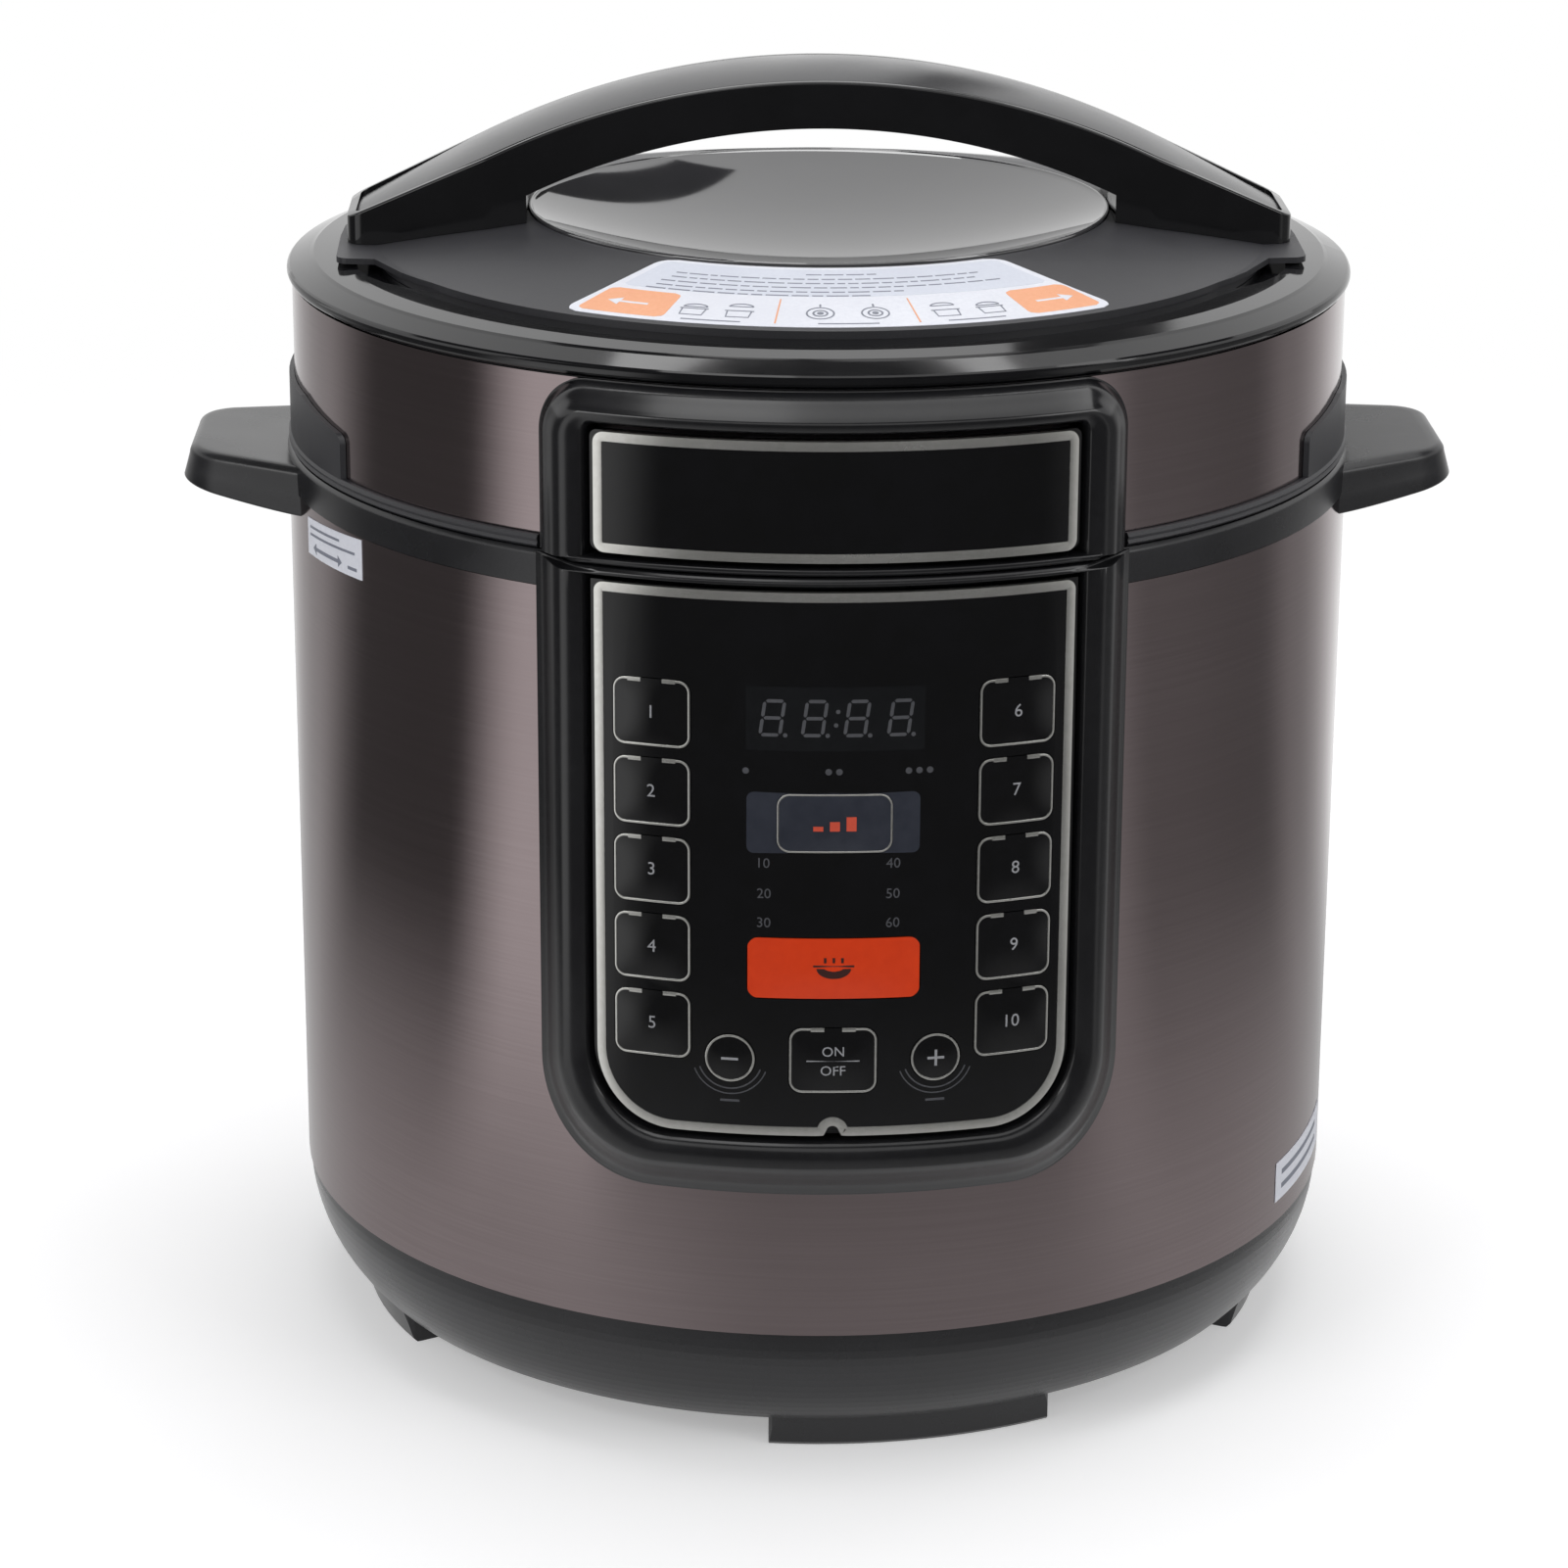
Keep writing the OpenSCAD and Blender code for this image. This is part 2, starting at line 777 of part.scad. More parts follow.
// Plan of the ear that the plate has under each end of the handle, drawn for the +X side
plate_ear = concat(
  [for (p = [[56, 115], [57, 116.3], [61, 117.2], [65, 118], [70, 118.5], [73.6, 119.4]])
    [p[1] * sin(p[0]), -p[1] * cos(p[0])]],
  arc(121, -29.4, 3.6, -90, -5, 5),
  [[124.8, -18], [125, -4], [124.6, 8], [123.2, 18]],
  arc(118.6, 27.6, 3.6, 20, 80, 4),
  [for (p = [[74, 118], [66, 116.3], [65, 115]]) [p[1] * sin(p[0]), p[1] * cos(p[0])]]);

// Plan of the recess that the steam valve and the float sit in
module recess_plan(grow) {
  hull()
    for (at = [[-14, 98], [14, 98]])
      translate(at)
        circle(17 + grow);
}

module lid_plate() {
  top = [for (i = [0:8]) let (r = lerp(bowl_r + 0.2, plate_r, i / 8)) [r, plate_z(r)]];
  under = [for (i = [8:-1:0]) let (r = lerp(bowl_r + 0.2, plate_r - 2, i / 8)) [r, plate_z(r) - 2.5]];
  color(plastic)
    difference() {
      union() {
        rotate_extrude()
          polygon(concat(top, [[plate_r, ring_bottom + 5.3]],
            [[plate_r - 2, ring_bottom + 5.3]], under));
        for (side = [0, 1])
          mirror([side, 0, 0])
            translate([0, 0, ring_bottom + 7.6])
              linear_extrude(plate_z(plate_r) - ring_bottom - 7.6)
                polygon(plate_ear);
        intersection() {
          translate([0, 0, 272])
            linear_extrude(30)
              recess_plan(1.8);
          rotate_extrude()
            polygon(concat([[60, 272], [60, bowl_top - 0.8]], top, [[plate_r - 0.5, 272]]));
        }
        for (a = [45:90:315])
          rotate([0, 0, a])
            translate([96, 0, dome_z(91) + 0.1])
              cylinder(r = 5, h = plate_z(96) - dome_z(91) - 1.5);
      }
      intersection() {
        translate([0, 0, 274])
          linear_extrude(30)
            recess_plan(0);
        ring(70, plate_r - 2, 270, 310);
      }
      translate([valve_at[0], valve_at[1], 260])
        cylinder(r = 6, h = 20);
      translate([float_at[0], float_at[1], 260])
        cylinder(r = pin_r + 1.2, h = 20);
      for (a = [45:90:315])
        rotate([0, 0, a])
          translate([96, 0, 240])
            cylinder(r = 1.9, h = 40);
    }
}

module handle_bowl() {
  dish_r = (bowl_r * bowl_r + bowl_depth * bowl_depth) / (2 * bowl_depth);
  half = asin((bowl_r - 1) / dish_r);
  c = bowl_top - bowl_depth + dish_r;
  color(satin)
    rotate_extrude()
      polygon(concat(
        [for (i = [0:12]) let (a = half * i / 12) [dish_r * sin(a), c - dish_r * cos(a)]],
        [[bowl_r, bowl_top], [bowl_r, bowl_top - 3.4]],
        [for (i = [12:-1:0]) let (a = half * i / 12)
          [(dish_r + 2) * sin(a), c - (dish_r + 2) * cos(a)]]));
}

// Plan of the handle: straight sides that close in towards its ends
module handle_plan(inset) {
  r = 5;
  linear_extrude(tall)
    hull() {
      square([172, handle_w - 2 * inset], center = true);
      for (x = [-1, 1], y = [-1, 1])
        translate([x * (handle_half - r), y * (handle_end_w / 2 - r)])
          circle(r - inset);
    }
}

module arch(r, w, z) {
  translate([0, 0, z])
    rotate([90, 0, 0])
      cylinder(r = r, h = w, center = true, $fn = 180);
}

// Block under an arc of the given radius that runs out straight beyond the given angle
module arch_top(r, w, turn) {
  end = 132;
  end_z = arch_z + r / cos(turn) - end * tan(turn);
  rotate([90, 0, 0])
    linear_extrude(w, center = true)
      polygon(concat([[end, 200], [end, end_z]], arc(0, arch_z, r, 90 - turn, 90 + turn, 32),
        [[-end, end_z], [-end, 200]]));
}

// Space inside the lid's top surfaces, which the handle stands on
module under_handle() {
  edge_z = plate_z(plate_r) + 0.1;
  rotate_extrude()
    polygon(
      concat([[0, 200], [139, 200], [139, edge_z], [plate_r + 0.1, edge_z]],
        [for (i = [16:-1:0]) let (r = lerp(bowl_r, plate_r, i / 16)) [r, plate_z(r) + 0.1]],
        [[bowl_r, bowl_top + 0.1], [0, bowl_top + 0.1]]));
}

// Fall of the handle's rim below the middle of its crowned strip
rim_drop = 1.7;

// Angles from upright at which the handle's rim and its strip leave the arc and run straight
rim_turn = 24.5;
strip_turn = 28;

// The arched handle: one arc above, a flatter one below, and two legs to the plate
module handle_solid() {
  difference() {
    intersection() {
      arch_top(arch_r - rim_drop, handle_w, rim_turn);
      handle_plan(0);
      translate([-wide / 2, -50, 280])
        cube([wide, 100, 100]);
    }
    intersection() {
      arch(175.4, 80, 147);
      translate([-bowl_r, -50, 200])
        cube([2 * bowl_r, 100, 200]);
    }
    under_handle();
  }
}

module handle_body() {
  color(plastic)
    difference() {
      handle_solid();
      difference() {
        handle_plan(2.3);
        arch_top(arch_r - 6, 100, strip_turn);
      }
    }
}

// Crowned satin strip let into the handle's top, swept along the arch
module handle_cover() {
  half = handle_w / 2 - 2.5;
  crown = (half * half + rim_drop * rim_drop) / (2 * rim_drop);
  edge = asin(half / crown);
  section = concat(arc(arch_r - crown, 0, crown, -edge, edge, 10),
    [[arch_r - 5.8, half], [arch_r - 5.8, -half]]);
  end_section = [for (p = section) [lerp(p[0], arch_r - 4, 0.01), p[1] * 0.998]];
  color(satin)
    difference() {
      intersection() {
        translate([0, 0, arch_z])
          rotate([90, 0, 0]) {
            rotate([0, 0, 90 - strip_turn])
              rotate_extrude(angle = 2 * strip_turn, $fn = 180)
                polygon(section);
            for (side = [-1, 1])
              rotate([side * 90, 0, 90 - side * strip_turn])
                translate([0, 0, -1])
                  linear_extrude(41)
                    polygon(end_section);
          }
        translate([0, 0, 280])
          handle_plan(2.45);
      }
      under_handle();
    }
}

module lid_surround() {
  inner = frame_loop(62.3, 273, lid_bottom + 2, 2.5);
  outer = frame_loop(frame_half * mm_per_deg, ring_bottom - 0.1, lid_bottom, 14);
  color(satin)
    swept_frame(inner, outer, frame_section(band_r + 1, band_r + 0.5));
}

module lid_window() {
  color(gloss)
    union() {
      intersection() {
        ring(window_back, window_r, lid_window_low, lid_window_high);
        to_front()
          rounded_rect(trim_w + 0.05 - trim_half, trim_half - trim_w - 0.05,
            lid_window_low + trim_w + 0.05, lid_window_high - trim_w - 0.05, 1.2);
      }
      intersection() {
        ring(window_back, trim_back - 0.05, lid_window_low, lid_window_high);
        to_front()
          rounded_rect(0.8 - trim_half, trim_half - 0.8, lid_window_low, lid_window_high, 1.8);
      }
    }
}

module lid_trim() {
  color(bright)
    difference() {
      intersection() {
        ring(trim_back, window_r + 0.2, lid_window_low, lid_window_high);
        to_front()
          rounded_rect(-trim_half, trim_half, lid_window_low, lid_window_high, 1.8);
      }
      to_front()
        rounded_rect(trim_w - trim_half, trim_half - trim_w, lid_window_low + trim_w,
          lid_window_high - trim_w, 1.2);
    }
}

function dome_under(n) = [for (i = [0:n]) let (r = 111 * i / n) [r, dome_z(r) - lid_t]];

// Everything above the dome's underside, less a hair
module over_dome() {
  translate([0, 0, -0.05])
    rotate_extrude()
      polygon(concat(dome_under(8), [[111, 300], [0, 300]]));
}

// Domed steel lid with a deep wall and the lugs that turn under those of the outer pot
module pressure_lid() {
  t = lid_t;
  top = [for (i = [0:8]) let (r = 112 * i / 8) [r, dome_z(r)]];
  under = [for (i = [8:-1:0]) dome_under(8)[i]];
  color(alloy) {
    difference() {
      rotate_extrude()
        polygon(concat(top, arc(112, dome_z(112) - 7, 7, 80, 0, 5),
          [[lid_wall, 226.5], [lid_wall - t, 226.5]],
          arc(112, dome_z(112) - 7, 7 - t, 0, 80, 5), under));
      for (at = [valve_at, float_at])
        translate([at[0], at[1], 240])
          cylinder(r = at == valve_at ? pipe_r : pin_r + 0.3, h = 30);
      cylinder(r = 4, h = 300);
      for (a = [45:90:315])
        rotate([0, 0, a])
          translate([96, 0, 240])
            cylinder(r = 2, h = 30);
    }
    for (i = [0:lug_count - 1])
      ring_part(lid_wall - 0.7, lug_out, 226.5, flange_z - 0.4, i * 360 / lug_count, lug_half);
  }
}

// Wire ring that keeps the seal in the lid
module seal_retainer() {
  color(bright) {
    translate([0, 0, 228.6])
      rotate_extrude()
        translate([109.8, 0])
          circle(1.2, $fn = 24);
    for (a = [60:120:300])
      rotate([0, 0, a])
        translate([109.8, 0, 228.6])
          cylinder(r = 1.2, h = dome_z(109.8) - 228.6 - 1.9, $fn = 24);
  }
}

module exhaust_pipe() {
  color(bright)
    translate([valve_at[0], valve_at[1], 0])
      difference() {
        union() {
          translate([0, 0, 246])
            cylinder(r = pipe_r, h = 38);
          translate([0, 0, dome_z(91) + 0.1])
            cylinder(r = 8, h = 3, $fn = 6);
          translate([0, 0, 246])
            cylinder(r = 7, h = 2.6);
        }
        translate([0, 0, 240])
          cylinder(r = 2, h = 50);
      }
}

// Slotted steel cap under the exhaust pipe that keeps food out of it
module pipe_shield() {
  color(bright)
    translate([valve_at[0], valve_at[1], 236])
      difference() {
        cylinder(r = 9.5, h = 9.9);
        translate([0, 0, 1])
          cylinder(r = 8.5, h = 10);
        for (a = [0:30:150])
          rotate([0, 0, a])
            translate([-15, -0.8, 3])
              cube([30, 1.6, 4.5]);
      }
}

// Weighted steam valve that stands loosely on the pipe and turns by its tail
module pressure_valve() {
  color(plastic)
    translate([valve_at[0], valve_at[1], 0])
      difference() {
        union() {
          translate([0, 0, 276])
            cylinder(r = 9, h = 9);
          translate([0, 0, 284])
            cylinder(r = 11.5, h = 6);
          translate([0, 0, 290])
            cylinder(r1 = 11.5, r2 = 9, h = 2.5);
          translate([-3.5, -14.5, 286])
            cube([7, 14.5, 5]);
        }
        translate([0, 0, 275])
          cylinder(r = pipe_r + 0.06, h = 10);
        translate([0, 0, 284.9])
          cylinder(r1 = 3, r2 = 0.5, h = 2.5);
      }
}

module float_valve() {
  color(bright)
    translate([float_at[0], float_at[1], 0]) {
      translate([0, 0, 244])
        cylinder(r = pin_r, h = 32);
      translate([0, 0, 274.1])
        cylinder(r = 4.2, h = 3);
      translate([0, 0, 242])
        cylinder(r = 4, h = 2.2);
    }
}

module float_seal() {
  color(silicone)
    translate([float_at[0], float_at[1], 0])
      difference() {
        translate([0, 0, dome_z(106) - 2.8])
          cylinder(r = 6.5, h = 5);
        translate([0, 0, 240])
          cylinder(r = pin_r + 0.3, h = 20);
        translate([-float_at[0], -float_at[1], 0])
          over_dome();
      }
}

module lid_screws() {
  color(bright)
    for (a = [45:90:315])
      rotate([0, 0, a])
        translate([96, 0, dome_z(96) - 5])
          screw(4, 2.4, 1.8, 20);
}

// Bolt and cap nut that pull the dome up to the middle of the bowl
module centre_bolt() {
  low = dome_top - 9;
  high = bowl_top - bowl_depth - 2.1;
  color(bright) {
    translate([0, 0, low])
      cylinder(r = 9, h = 7.2, $fn = 6);
    translate([0, 0, low])
      cylinder(r = 3.9, h = high - low);
    translate([0, 0, dome_top + 0.1])
      cylinder(r = 12, h = high - dome_top - 0.1);
  }
}

base_housing();
bottom_cover();
feet();
base_screws();
outer_shell();
upper_collar();
outer_pot();
heating_plate();
temperature_sensor();
sensor_spring();
pressure_switch();
power_board();
control_board();
display_module();
button_carrier();
panel_surround();
panel_window();
panel_trim();
power_inlet();
cup_bracket();
condensation_cup();
key("function", -key_column, key_z(0));  // key_left_1
key("function", -key_column, key_z(1));  // key_left_2
key("function", -key_column, key_z(2));  // key_left_3
key("function", -key_column, key_z(3));  // key_left_4
key("function", -key_column, key_z(4));  // key_left_5
key("function", key_column, key_z(0));  // key_right_1
key("function", key_column, key_z(1));  // key_right_2
key("function", key_column, key_z(2));  // key_right_3
key("function", key_column, key_z(3));  // key_right_4
key("function", key_column, key_z(4));  // key_right_5
key("round", round_keys[0][0], round_keys[0][1]);  // key_minus
key("round", round_keys[1][0], round_keys[1][1]);  // key_plus
key("cancel", 0, cancel_z);  // key_cancel
key("upper", 0, upper_bar_z);  // key_upper_bar
key("lower", 0, lower_bar_z);  // key_lower_bar
inner_pot();
sealing_ring();
lid_skirt();
lid_band();
lid_ring();
lid_plate();
handle_bowl();
handle_body();
handle_cover();
lid_surround();
lid_window();
lid_trim();
pressure_lid();
seal_retainer();
exhaust_pipe();
pipe_shield();
pressure_valve();
float_valve();
float_seal();
lid_screws();
centre_bolt();
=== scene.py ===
import json
import math

import bmesh
import bpy
import numpy as np
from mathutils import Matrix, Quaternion, Vector

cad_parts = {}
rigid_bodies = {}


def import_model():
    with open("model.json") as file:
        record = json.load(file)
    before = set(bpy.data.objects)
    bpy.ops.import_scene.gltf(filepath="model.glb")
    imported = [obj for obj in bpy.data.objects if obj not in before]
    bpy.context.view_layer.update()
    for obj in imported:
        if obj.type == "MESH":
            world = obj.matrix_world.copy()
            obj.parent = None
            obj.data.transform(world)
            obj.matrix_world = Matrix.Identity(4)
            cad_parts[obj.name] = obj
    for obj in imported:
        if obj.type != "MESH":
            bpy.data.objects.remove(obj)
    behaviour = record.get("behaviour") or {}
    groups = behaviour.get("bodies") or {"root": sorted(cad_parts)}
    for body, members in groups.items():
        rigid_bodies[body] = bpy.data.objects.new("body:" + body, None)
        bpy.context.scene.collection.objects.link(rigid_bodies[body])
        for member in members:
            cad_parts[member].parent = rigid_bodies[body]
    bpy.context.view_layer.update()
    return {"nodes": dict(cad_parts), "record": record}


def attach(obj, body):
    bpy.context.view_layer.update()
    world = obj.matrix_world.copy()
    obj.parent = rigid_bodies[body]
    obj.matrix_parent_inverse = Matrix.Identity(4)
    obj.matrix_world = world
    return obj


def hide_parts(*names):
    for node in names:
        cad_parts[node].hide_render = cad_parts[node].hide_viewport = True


for leftover in list(bpy.data.objects):
    bpy.data.objects.remove(leftover)  # the cube, lamp and camera of a new file
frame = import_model()
print("frame loaded")

mm = 0.001  # every length below is written in millimetres and multiplied by this


def toLinear(hexColour):
    # sRGB to linear light: ((v + 0.055) / 1.055) ^ 2.4, or v / 12.92 in the darkest part
    channels = [int(hexColour[i:i + 2], 16) / 255 for i in (1, 3, 5)]
    linear = [v / 12.92 if v <= 0.04045 else ((v + 0.055) / 1.055) ** 2.4 for v in channels]
    return (*linear, 1.0)


def addNode(tree, kind, settings=None, links=None):
    # one node, with its own settings or the values of its sockets, and what feeds it: an output,
    # or a node for its first one
    node = tree.nodes.new(kind)
    for key, value in (settings or {}).items():
        if isinstance(key, str) and hasattr(node, key):
            setattr(node, key, value)
        else:
            node.inputs[key].default_value = value
    for key, source in (links or {}).items():
        tree.links.new(getattr(source, "outputs", [source])[0], node.inputs[key])
    return node


def addObject(name, data):
    made = bpy.data.objects.new(name, data)
    bpy.context.scene.collection.objects.link(made)
    return made


def newMaterial(name):
    made = bpy.data.materials.new(name)
    made.use_nodes = True
    made.node_tree.nodes.clear()
    return made, made.node_tree


def makeFinish(name, base, second, rough, grain, bump, sockets, cloud=28, detail=3.0, relief=0.05,
               roughFromGrain=False):
    # a base colour that wanders between two tones, a fine grain that feeds the bump, and a slow
    # cloudiness in the roughness, such as handling leaves
    made, tree = newMaterial(name)
    where = addNode(tree, "ShaderNodeTexCoord")
    noises = []
    for size, fineness, roughness in ((grain, detail, 0.55), (cloud, 4.0, 0.5)):
        scale = (1 / (np.broadcast_to(size, 3) * mm)).tolist()
        place = addNode(tree, "ShaderNodeMapping", {"Scale": scale},
                        {"Vector": where.outputs["Object"]})
        noises.append(addNode(tree, "ShaderNodeTexNoise",
                              {"Scale": 1.0, "Detail": fineness, "Roughness": roughness},
                              {"Vector": place}))
    both = addNode(tree, "ShaderNodeMath", {"operation": "MULTIPLY"}, {0: noises[0], 1: noises[1]})
    tone = addNode(tree, "ShaderNodeMapRange", {"From Min": 0.15, "From Max": 0.38},
                   {"Value": both})
    colour = addNode(tree, "ShaderNodeMix",
                     {"data_type": "RGBA", 6: toLinear(base), 7: toLinear(second)}, {0: tone})
    roughness = addNode(tree, "ShaderNodeMapRange",
                        {"From Min": 0.3, "From Max": 0.7, "To Min": rough[0], "To Max": rough[1]},
                        {"Value": noises[0 if roughFromGrain else 1]})
    normal = addNode(tree, "ShaderNodeBump", {"Strength": bump, "Distance": relief * mm},
                     {"Height": noises[0]})
    shader = addNode(tree, "ShaderNodeBsdfPrincipled", sockets,
                     {"Base Color": colour.outputs[2], "Roughness": roughness, "Normal": normal})
    addNode(tree, "ShaderNodeOutputMaterial", links={"Surface": shader})
    return made


# Each finish: the slot it fills, two near base colours, the roughness range, the grain in
# millimetres, the bump's strength and the shader's other sockets. The brushed steel adds the
# cloudiness in millimetres, the noise detail, the bump's depth, and takes roughness from its grain.
finishes = {
    # injection-moulded polypropylene: spark-eroded grain of about 0.3 mm, drawn at 0.7 mm to show
    "mouldedPolypropylene": ("base_plastic", "#19191b", "#202023", (0.24, 0.32), 0.7, 0.12,
                             {"IOR": 1.49}),
    # the same plastic inside, a little duller
    "mouldedInnerPlastic": ("inner_plastic", "#17171a", "#1e1e21", (0.42, 0.52), 0.8, 0.2,
                            {"IOR": 1.49}),
    # stainless sheet brushed round the body and tinted bronze: fine level lines, soft upright glow;
    # the real lines are 0.1 mm apart and are drawn at 0.6 mm
    "bronzeBrushedSteel": ("shell_steel", "#8b7f80", "#918586", (0.1, 0.13), (60, 60, 0.6), 0.02,
                           {"Metallic": 1.0}, (90, 90, 60), 4.0, 0.02, True),
    # satin ABS of the two frames: even low sheen
    "satinAbsFrame": ("frame_plastic", "#151517", "#1a1a1c", (0.15, 0.2), 2.5, 0.03, {"IOR": 1.52}),
    # printed acrylic window: deep black under a polished face
    "blackAcrylic": ("window_gloss", "#09090a", "#0c0c0e", (0.03, 0.06), 6, 0.02, {"IOR": 1.49}),
    # vacuum-plated line: bright, a little soft
    "platedLine": ("bright_line", "#d2d1cc", "#dad9d5", (0.2, 0.28), 1.5, 0.05, {"Metallic": 0.9}),
    # polished ABS of the keys: black with sharp small lights
    "glossKeyCap": ("key_gloss", "#0a0a0b", "#0d0d0f", (0.05, 0.09), 3, 0.02, {"IOR": 1.49}),
    # the same polish in a warm orange
    "orangeKeyCap": ("key_orange", "#d63d12", "#d03910", (0.1, 0.16), 3, 0.03, {"IOR": 1.49}),
    # drawn aluminium: faint rings from the press, satin
    "drawnAluminium": ("pot_aluminium", "#b9babd", "#c6c7ca", (0.26, 0.38), (20, 20, 0.9), 0.12,
                       {"Metallic": 1.0}),
    # sprayed non-stick coating: dark with pale specks of about 0.5 mm
    "nonStickCoating": ("coated_aluminium", "#2d2d30", "#36363a", (0.3, 0.42), 0.7, 0.2,
                        {"IOR": 1.45}),
    # glass-epoxy board under green lacquer
    "lacqueredBoard": ("circuit_board", "#174a2c", "#1e5b37", (0.25, 0.35), 2.2, 0.1,
                       {"IOR": 1.55}),
    # plain steel sheet and screws: even grey shine
    "plainSteel": ("steel", "#b4b3b1", "#c1c0be", (0.22, 0.32), 0.9, 0.08, {"Metallic": 1.0}),
    # polished pressed steel: mirror-like with slow waves
    "polishedLidSteel": ("lid_steel", "#c4c4c5", "#cfcfd0", (0.1, 0.18), 14, 0.06,
                         {"Metallic": 1.0}),
    # clear polycarbonate cup
    "clearPolycarbonate": ("clear_plastic", "#eef3f5", "#f6f9fa", (0.04, 0.08), 5, 0.02,
                           {"IOR": 1.58, "Transmission Weight": 0.92}),
    # translucent silicone rubber: soft, slightly waxy
    "castSilicone": ("silicone", "#d8d7d1", "#e2e1dc", (0.42, 0.52), 2, 0.1,
                     {"IOR": 1.41, "Subsurface Weight": 0.15, "Subsurface Scale": 0.003}),
    # matt moulded ABS of the lid plate
    "mattAbsPlate": ("lid_plastic", "#27272b", "#2e2e32", (0.42, 0.5), 0.6, 0.3, {"IOR": 1.52}),
    # glossy ABS of the lid ring and the handle's sides
    "glossAbs": ("lid_gloss", "#0f0f11", "#131315", (0.06, 0.1), 9, 0.02, {"IOR": 1.52}),
    # satin ABS of the strip on the handle: a long soft light along its crown
    "satinHandleStrip": ("handle_satin", "#1c1c1f", "#212125", (0.2, 0.27), 0.7, 0.1,
                         {"IOR": 1.52}),
    # lacquered over a thin metal film: dark, with a reflection that is strong at every angle
    "polishedBowl": ("bowl_gloss", "#262629", "#2b2b2e", (0.03, 0.06), 12, 0.02, {"IOR": 2.3}),
    # silk-screened ink in pale grey, and its dim form for what isn't lit
    "paleInk": (None, "#8b8c90", "#9b9ca0", (0.4, 0.5), 0.5, 0.1, {}),
    "dimInk": (None, "#404146", "#4a4b50", (0.4, 0.5), 0.5, 0.1, {}),
    # ink on the orange key, and orange ink on the smoked one
    "darkInk": (None, "#331009", "#3e140b", (0.4, 0.5), 0.5, 0.1, {}),
    "orangeInk": (None, "#c8452a", "#d04c30", (0.4, 0.5), 0.5, 0.1, {}),
    # unlit display segments and the smoked panel behind them
    "unlitSegment": (None, "#48494d", "#515256", (0.3, 0.4), 0.8, 0.05, {}),
    # smoked acrylic: polished, with a faint blue in the bar
    "smokedDisplay": (None, "#101113", "#141517", (0.05, 0.09), 4, 0.02, {}),
    "smokedBar": (None, "#2b2e37", "#32353e", (0.07, 0.12), 4, 0.02, {}),
    # coated paper of the labels: bright with a soft tooth
    "coatedPaper": (None, "#d9dbe4", "#e2e4ec", (0.45, 0.55), 1.1, 0.15, {}),
    # offset colours printed on that paper
    "printedOrange": (None, "#e8a279", "#ecaa83", (0.45, 0.55), 1.1, 0.12, {}),
    "printedPale": (None, "#ccd0dc", "#d3d7e2", (0.45, 0.55), 1.1, 0.12, {}),
    "printedGrey": (None, "#767a88", "#80848f", (0.45, 0.55), 1.1, 0.12, {}),
}
materials, slotMaterial = {}, {}
for finishName, (slotName, *look) in finishes.items():
    materials[finishName] = makeFinish(finishName, *look)
    if slotName:
        slotMaterial[slotName] = materials[finishName]
nodeSlot = {part["node"]: part["material_slot"] for part in frame["record"]["subparts"]}
for nodeName, node in frame["nodes"].items():
    node.data.materials.clear()
    node.data.materials.append(slotMaterial[nodeSlot[nodeName]])
print("finishes made:", len(materials))

windowRadius = 146.9
degree = math.pi / 180 * windowRadius  # an arc of one degree at that radius


def makePiece(name, shape, finish, body, edgeAngle=None, node=None):
    # the shape is points in millimetres and faces as rows of indices; the piece keeps its place in
    # its mesh, is smooth up to the edge angle where one is given, and stands in for the node
    points, faces = shape
    mesh = bpy.data.meshes.new(name)
    mesh.from_pydata((np.asarray(points) * mm).tolist(), [], [list(map(int, f)) for f in faces])
    mesh.validate()
    mesh.update()
    mesh.polygons.foreach_set("use_smooth", [bool(edgeAngle)] * len(mesh.polygons))
    if edgeAngle:
        mesh.set_sharp_from_angle(angle=math.radians(edgeAngle))
    mesh.materials.append(materials[finish])
    work = bmesh.new()  # joins points that meet and turns the faces outwards
    work.from_mesh(mesh)
    bmesh.ops.remove_doubles(work, verts=work.verts, dist=0.01 * mm)
    bmesh.ops.recalc_face_normals(work, faces=work.faces)
    work.to_mesh(mesh)
    work.free()
    mesh.update()
    piece = addObject(name, mesh)
    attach(piece, body)
    if node:
        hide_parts(node)


def gridFaces(rows, columns, closeRows=False, closeColumns=False):
    # quads between the neighbours of a grid that is numbered row by row
    here = np.arange(rows * columns).reshape(rows, columns)
    below = np.roll(here, -1, 0)
    quads = np.stack([here, below, np.roll(below, -1, 1), np.roll(here, -1, 1)], -1)
    quads = quads[:rows if closeRows else -1, :columns if closeColumns else -1]
    return quads.reshape(-1, 4).tolist()


def tube(sections, closed=False):
    # a closed outline at each station, with both ends filled unless they meet
    rows, count = sections.shape[:2]
    faces = gridFaces(rows, count, closed, True)
    if not closed:
        faces += [list(range(count)), [(rows - 1) * count + i for i in reversed(range(count))]]
    return sections.reshape(-1, 3), faces


def slab(front, back):
    # two grids of the same size, one behind the other, joined round their rim
    rows, columns = front.shape[:2]
    count = rows * columns
    index = np.arange(count).reshape(rows, columns)
    rim = np.concatenate([index[0], index[1:, -1], index[-1, -2::-1], index[-2:0:-1, 0]])
    after = np.roll(rim, -1)
    quads = gridFaces(rows, columns)
    faces = quads + [[i + count for i in reversed(face)] for face in quads]
    faces += np.stack([rim, after, after + count, rim + count], 1).tolist()
    return np.vstack([front.reshape(-1, 3), back.reshape(-1, 3)]), faces


def between(start, end, share):
    return start + (end - start) * share


def arc(turn, size=1.0, middle=(0, 0)):
    # points on a circle, or on an ellipse where the size is a pair
    return np.stack([np.cos(turn), np.sin(turn)], -1) * size + middle


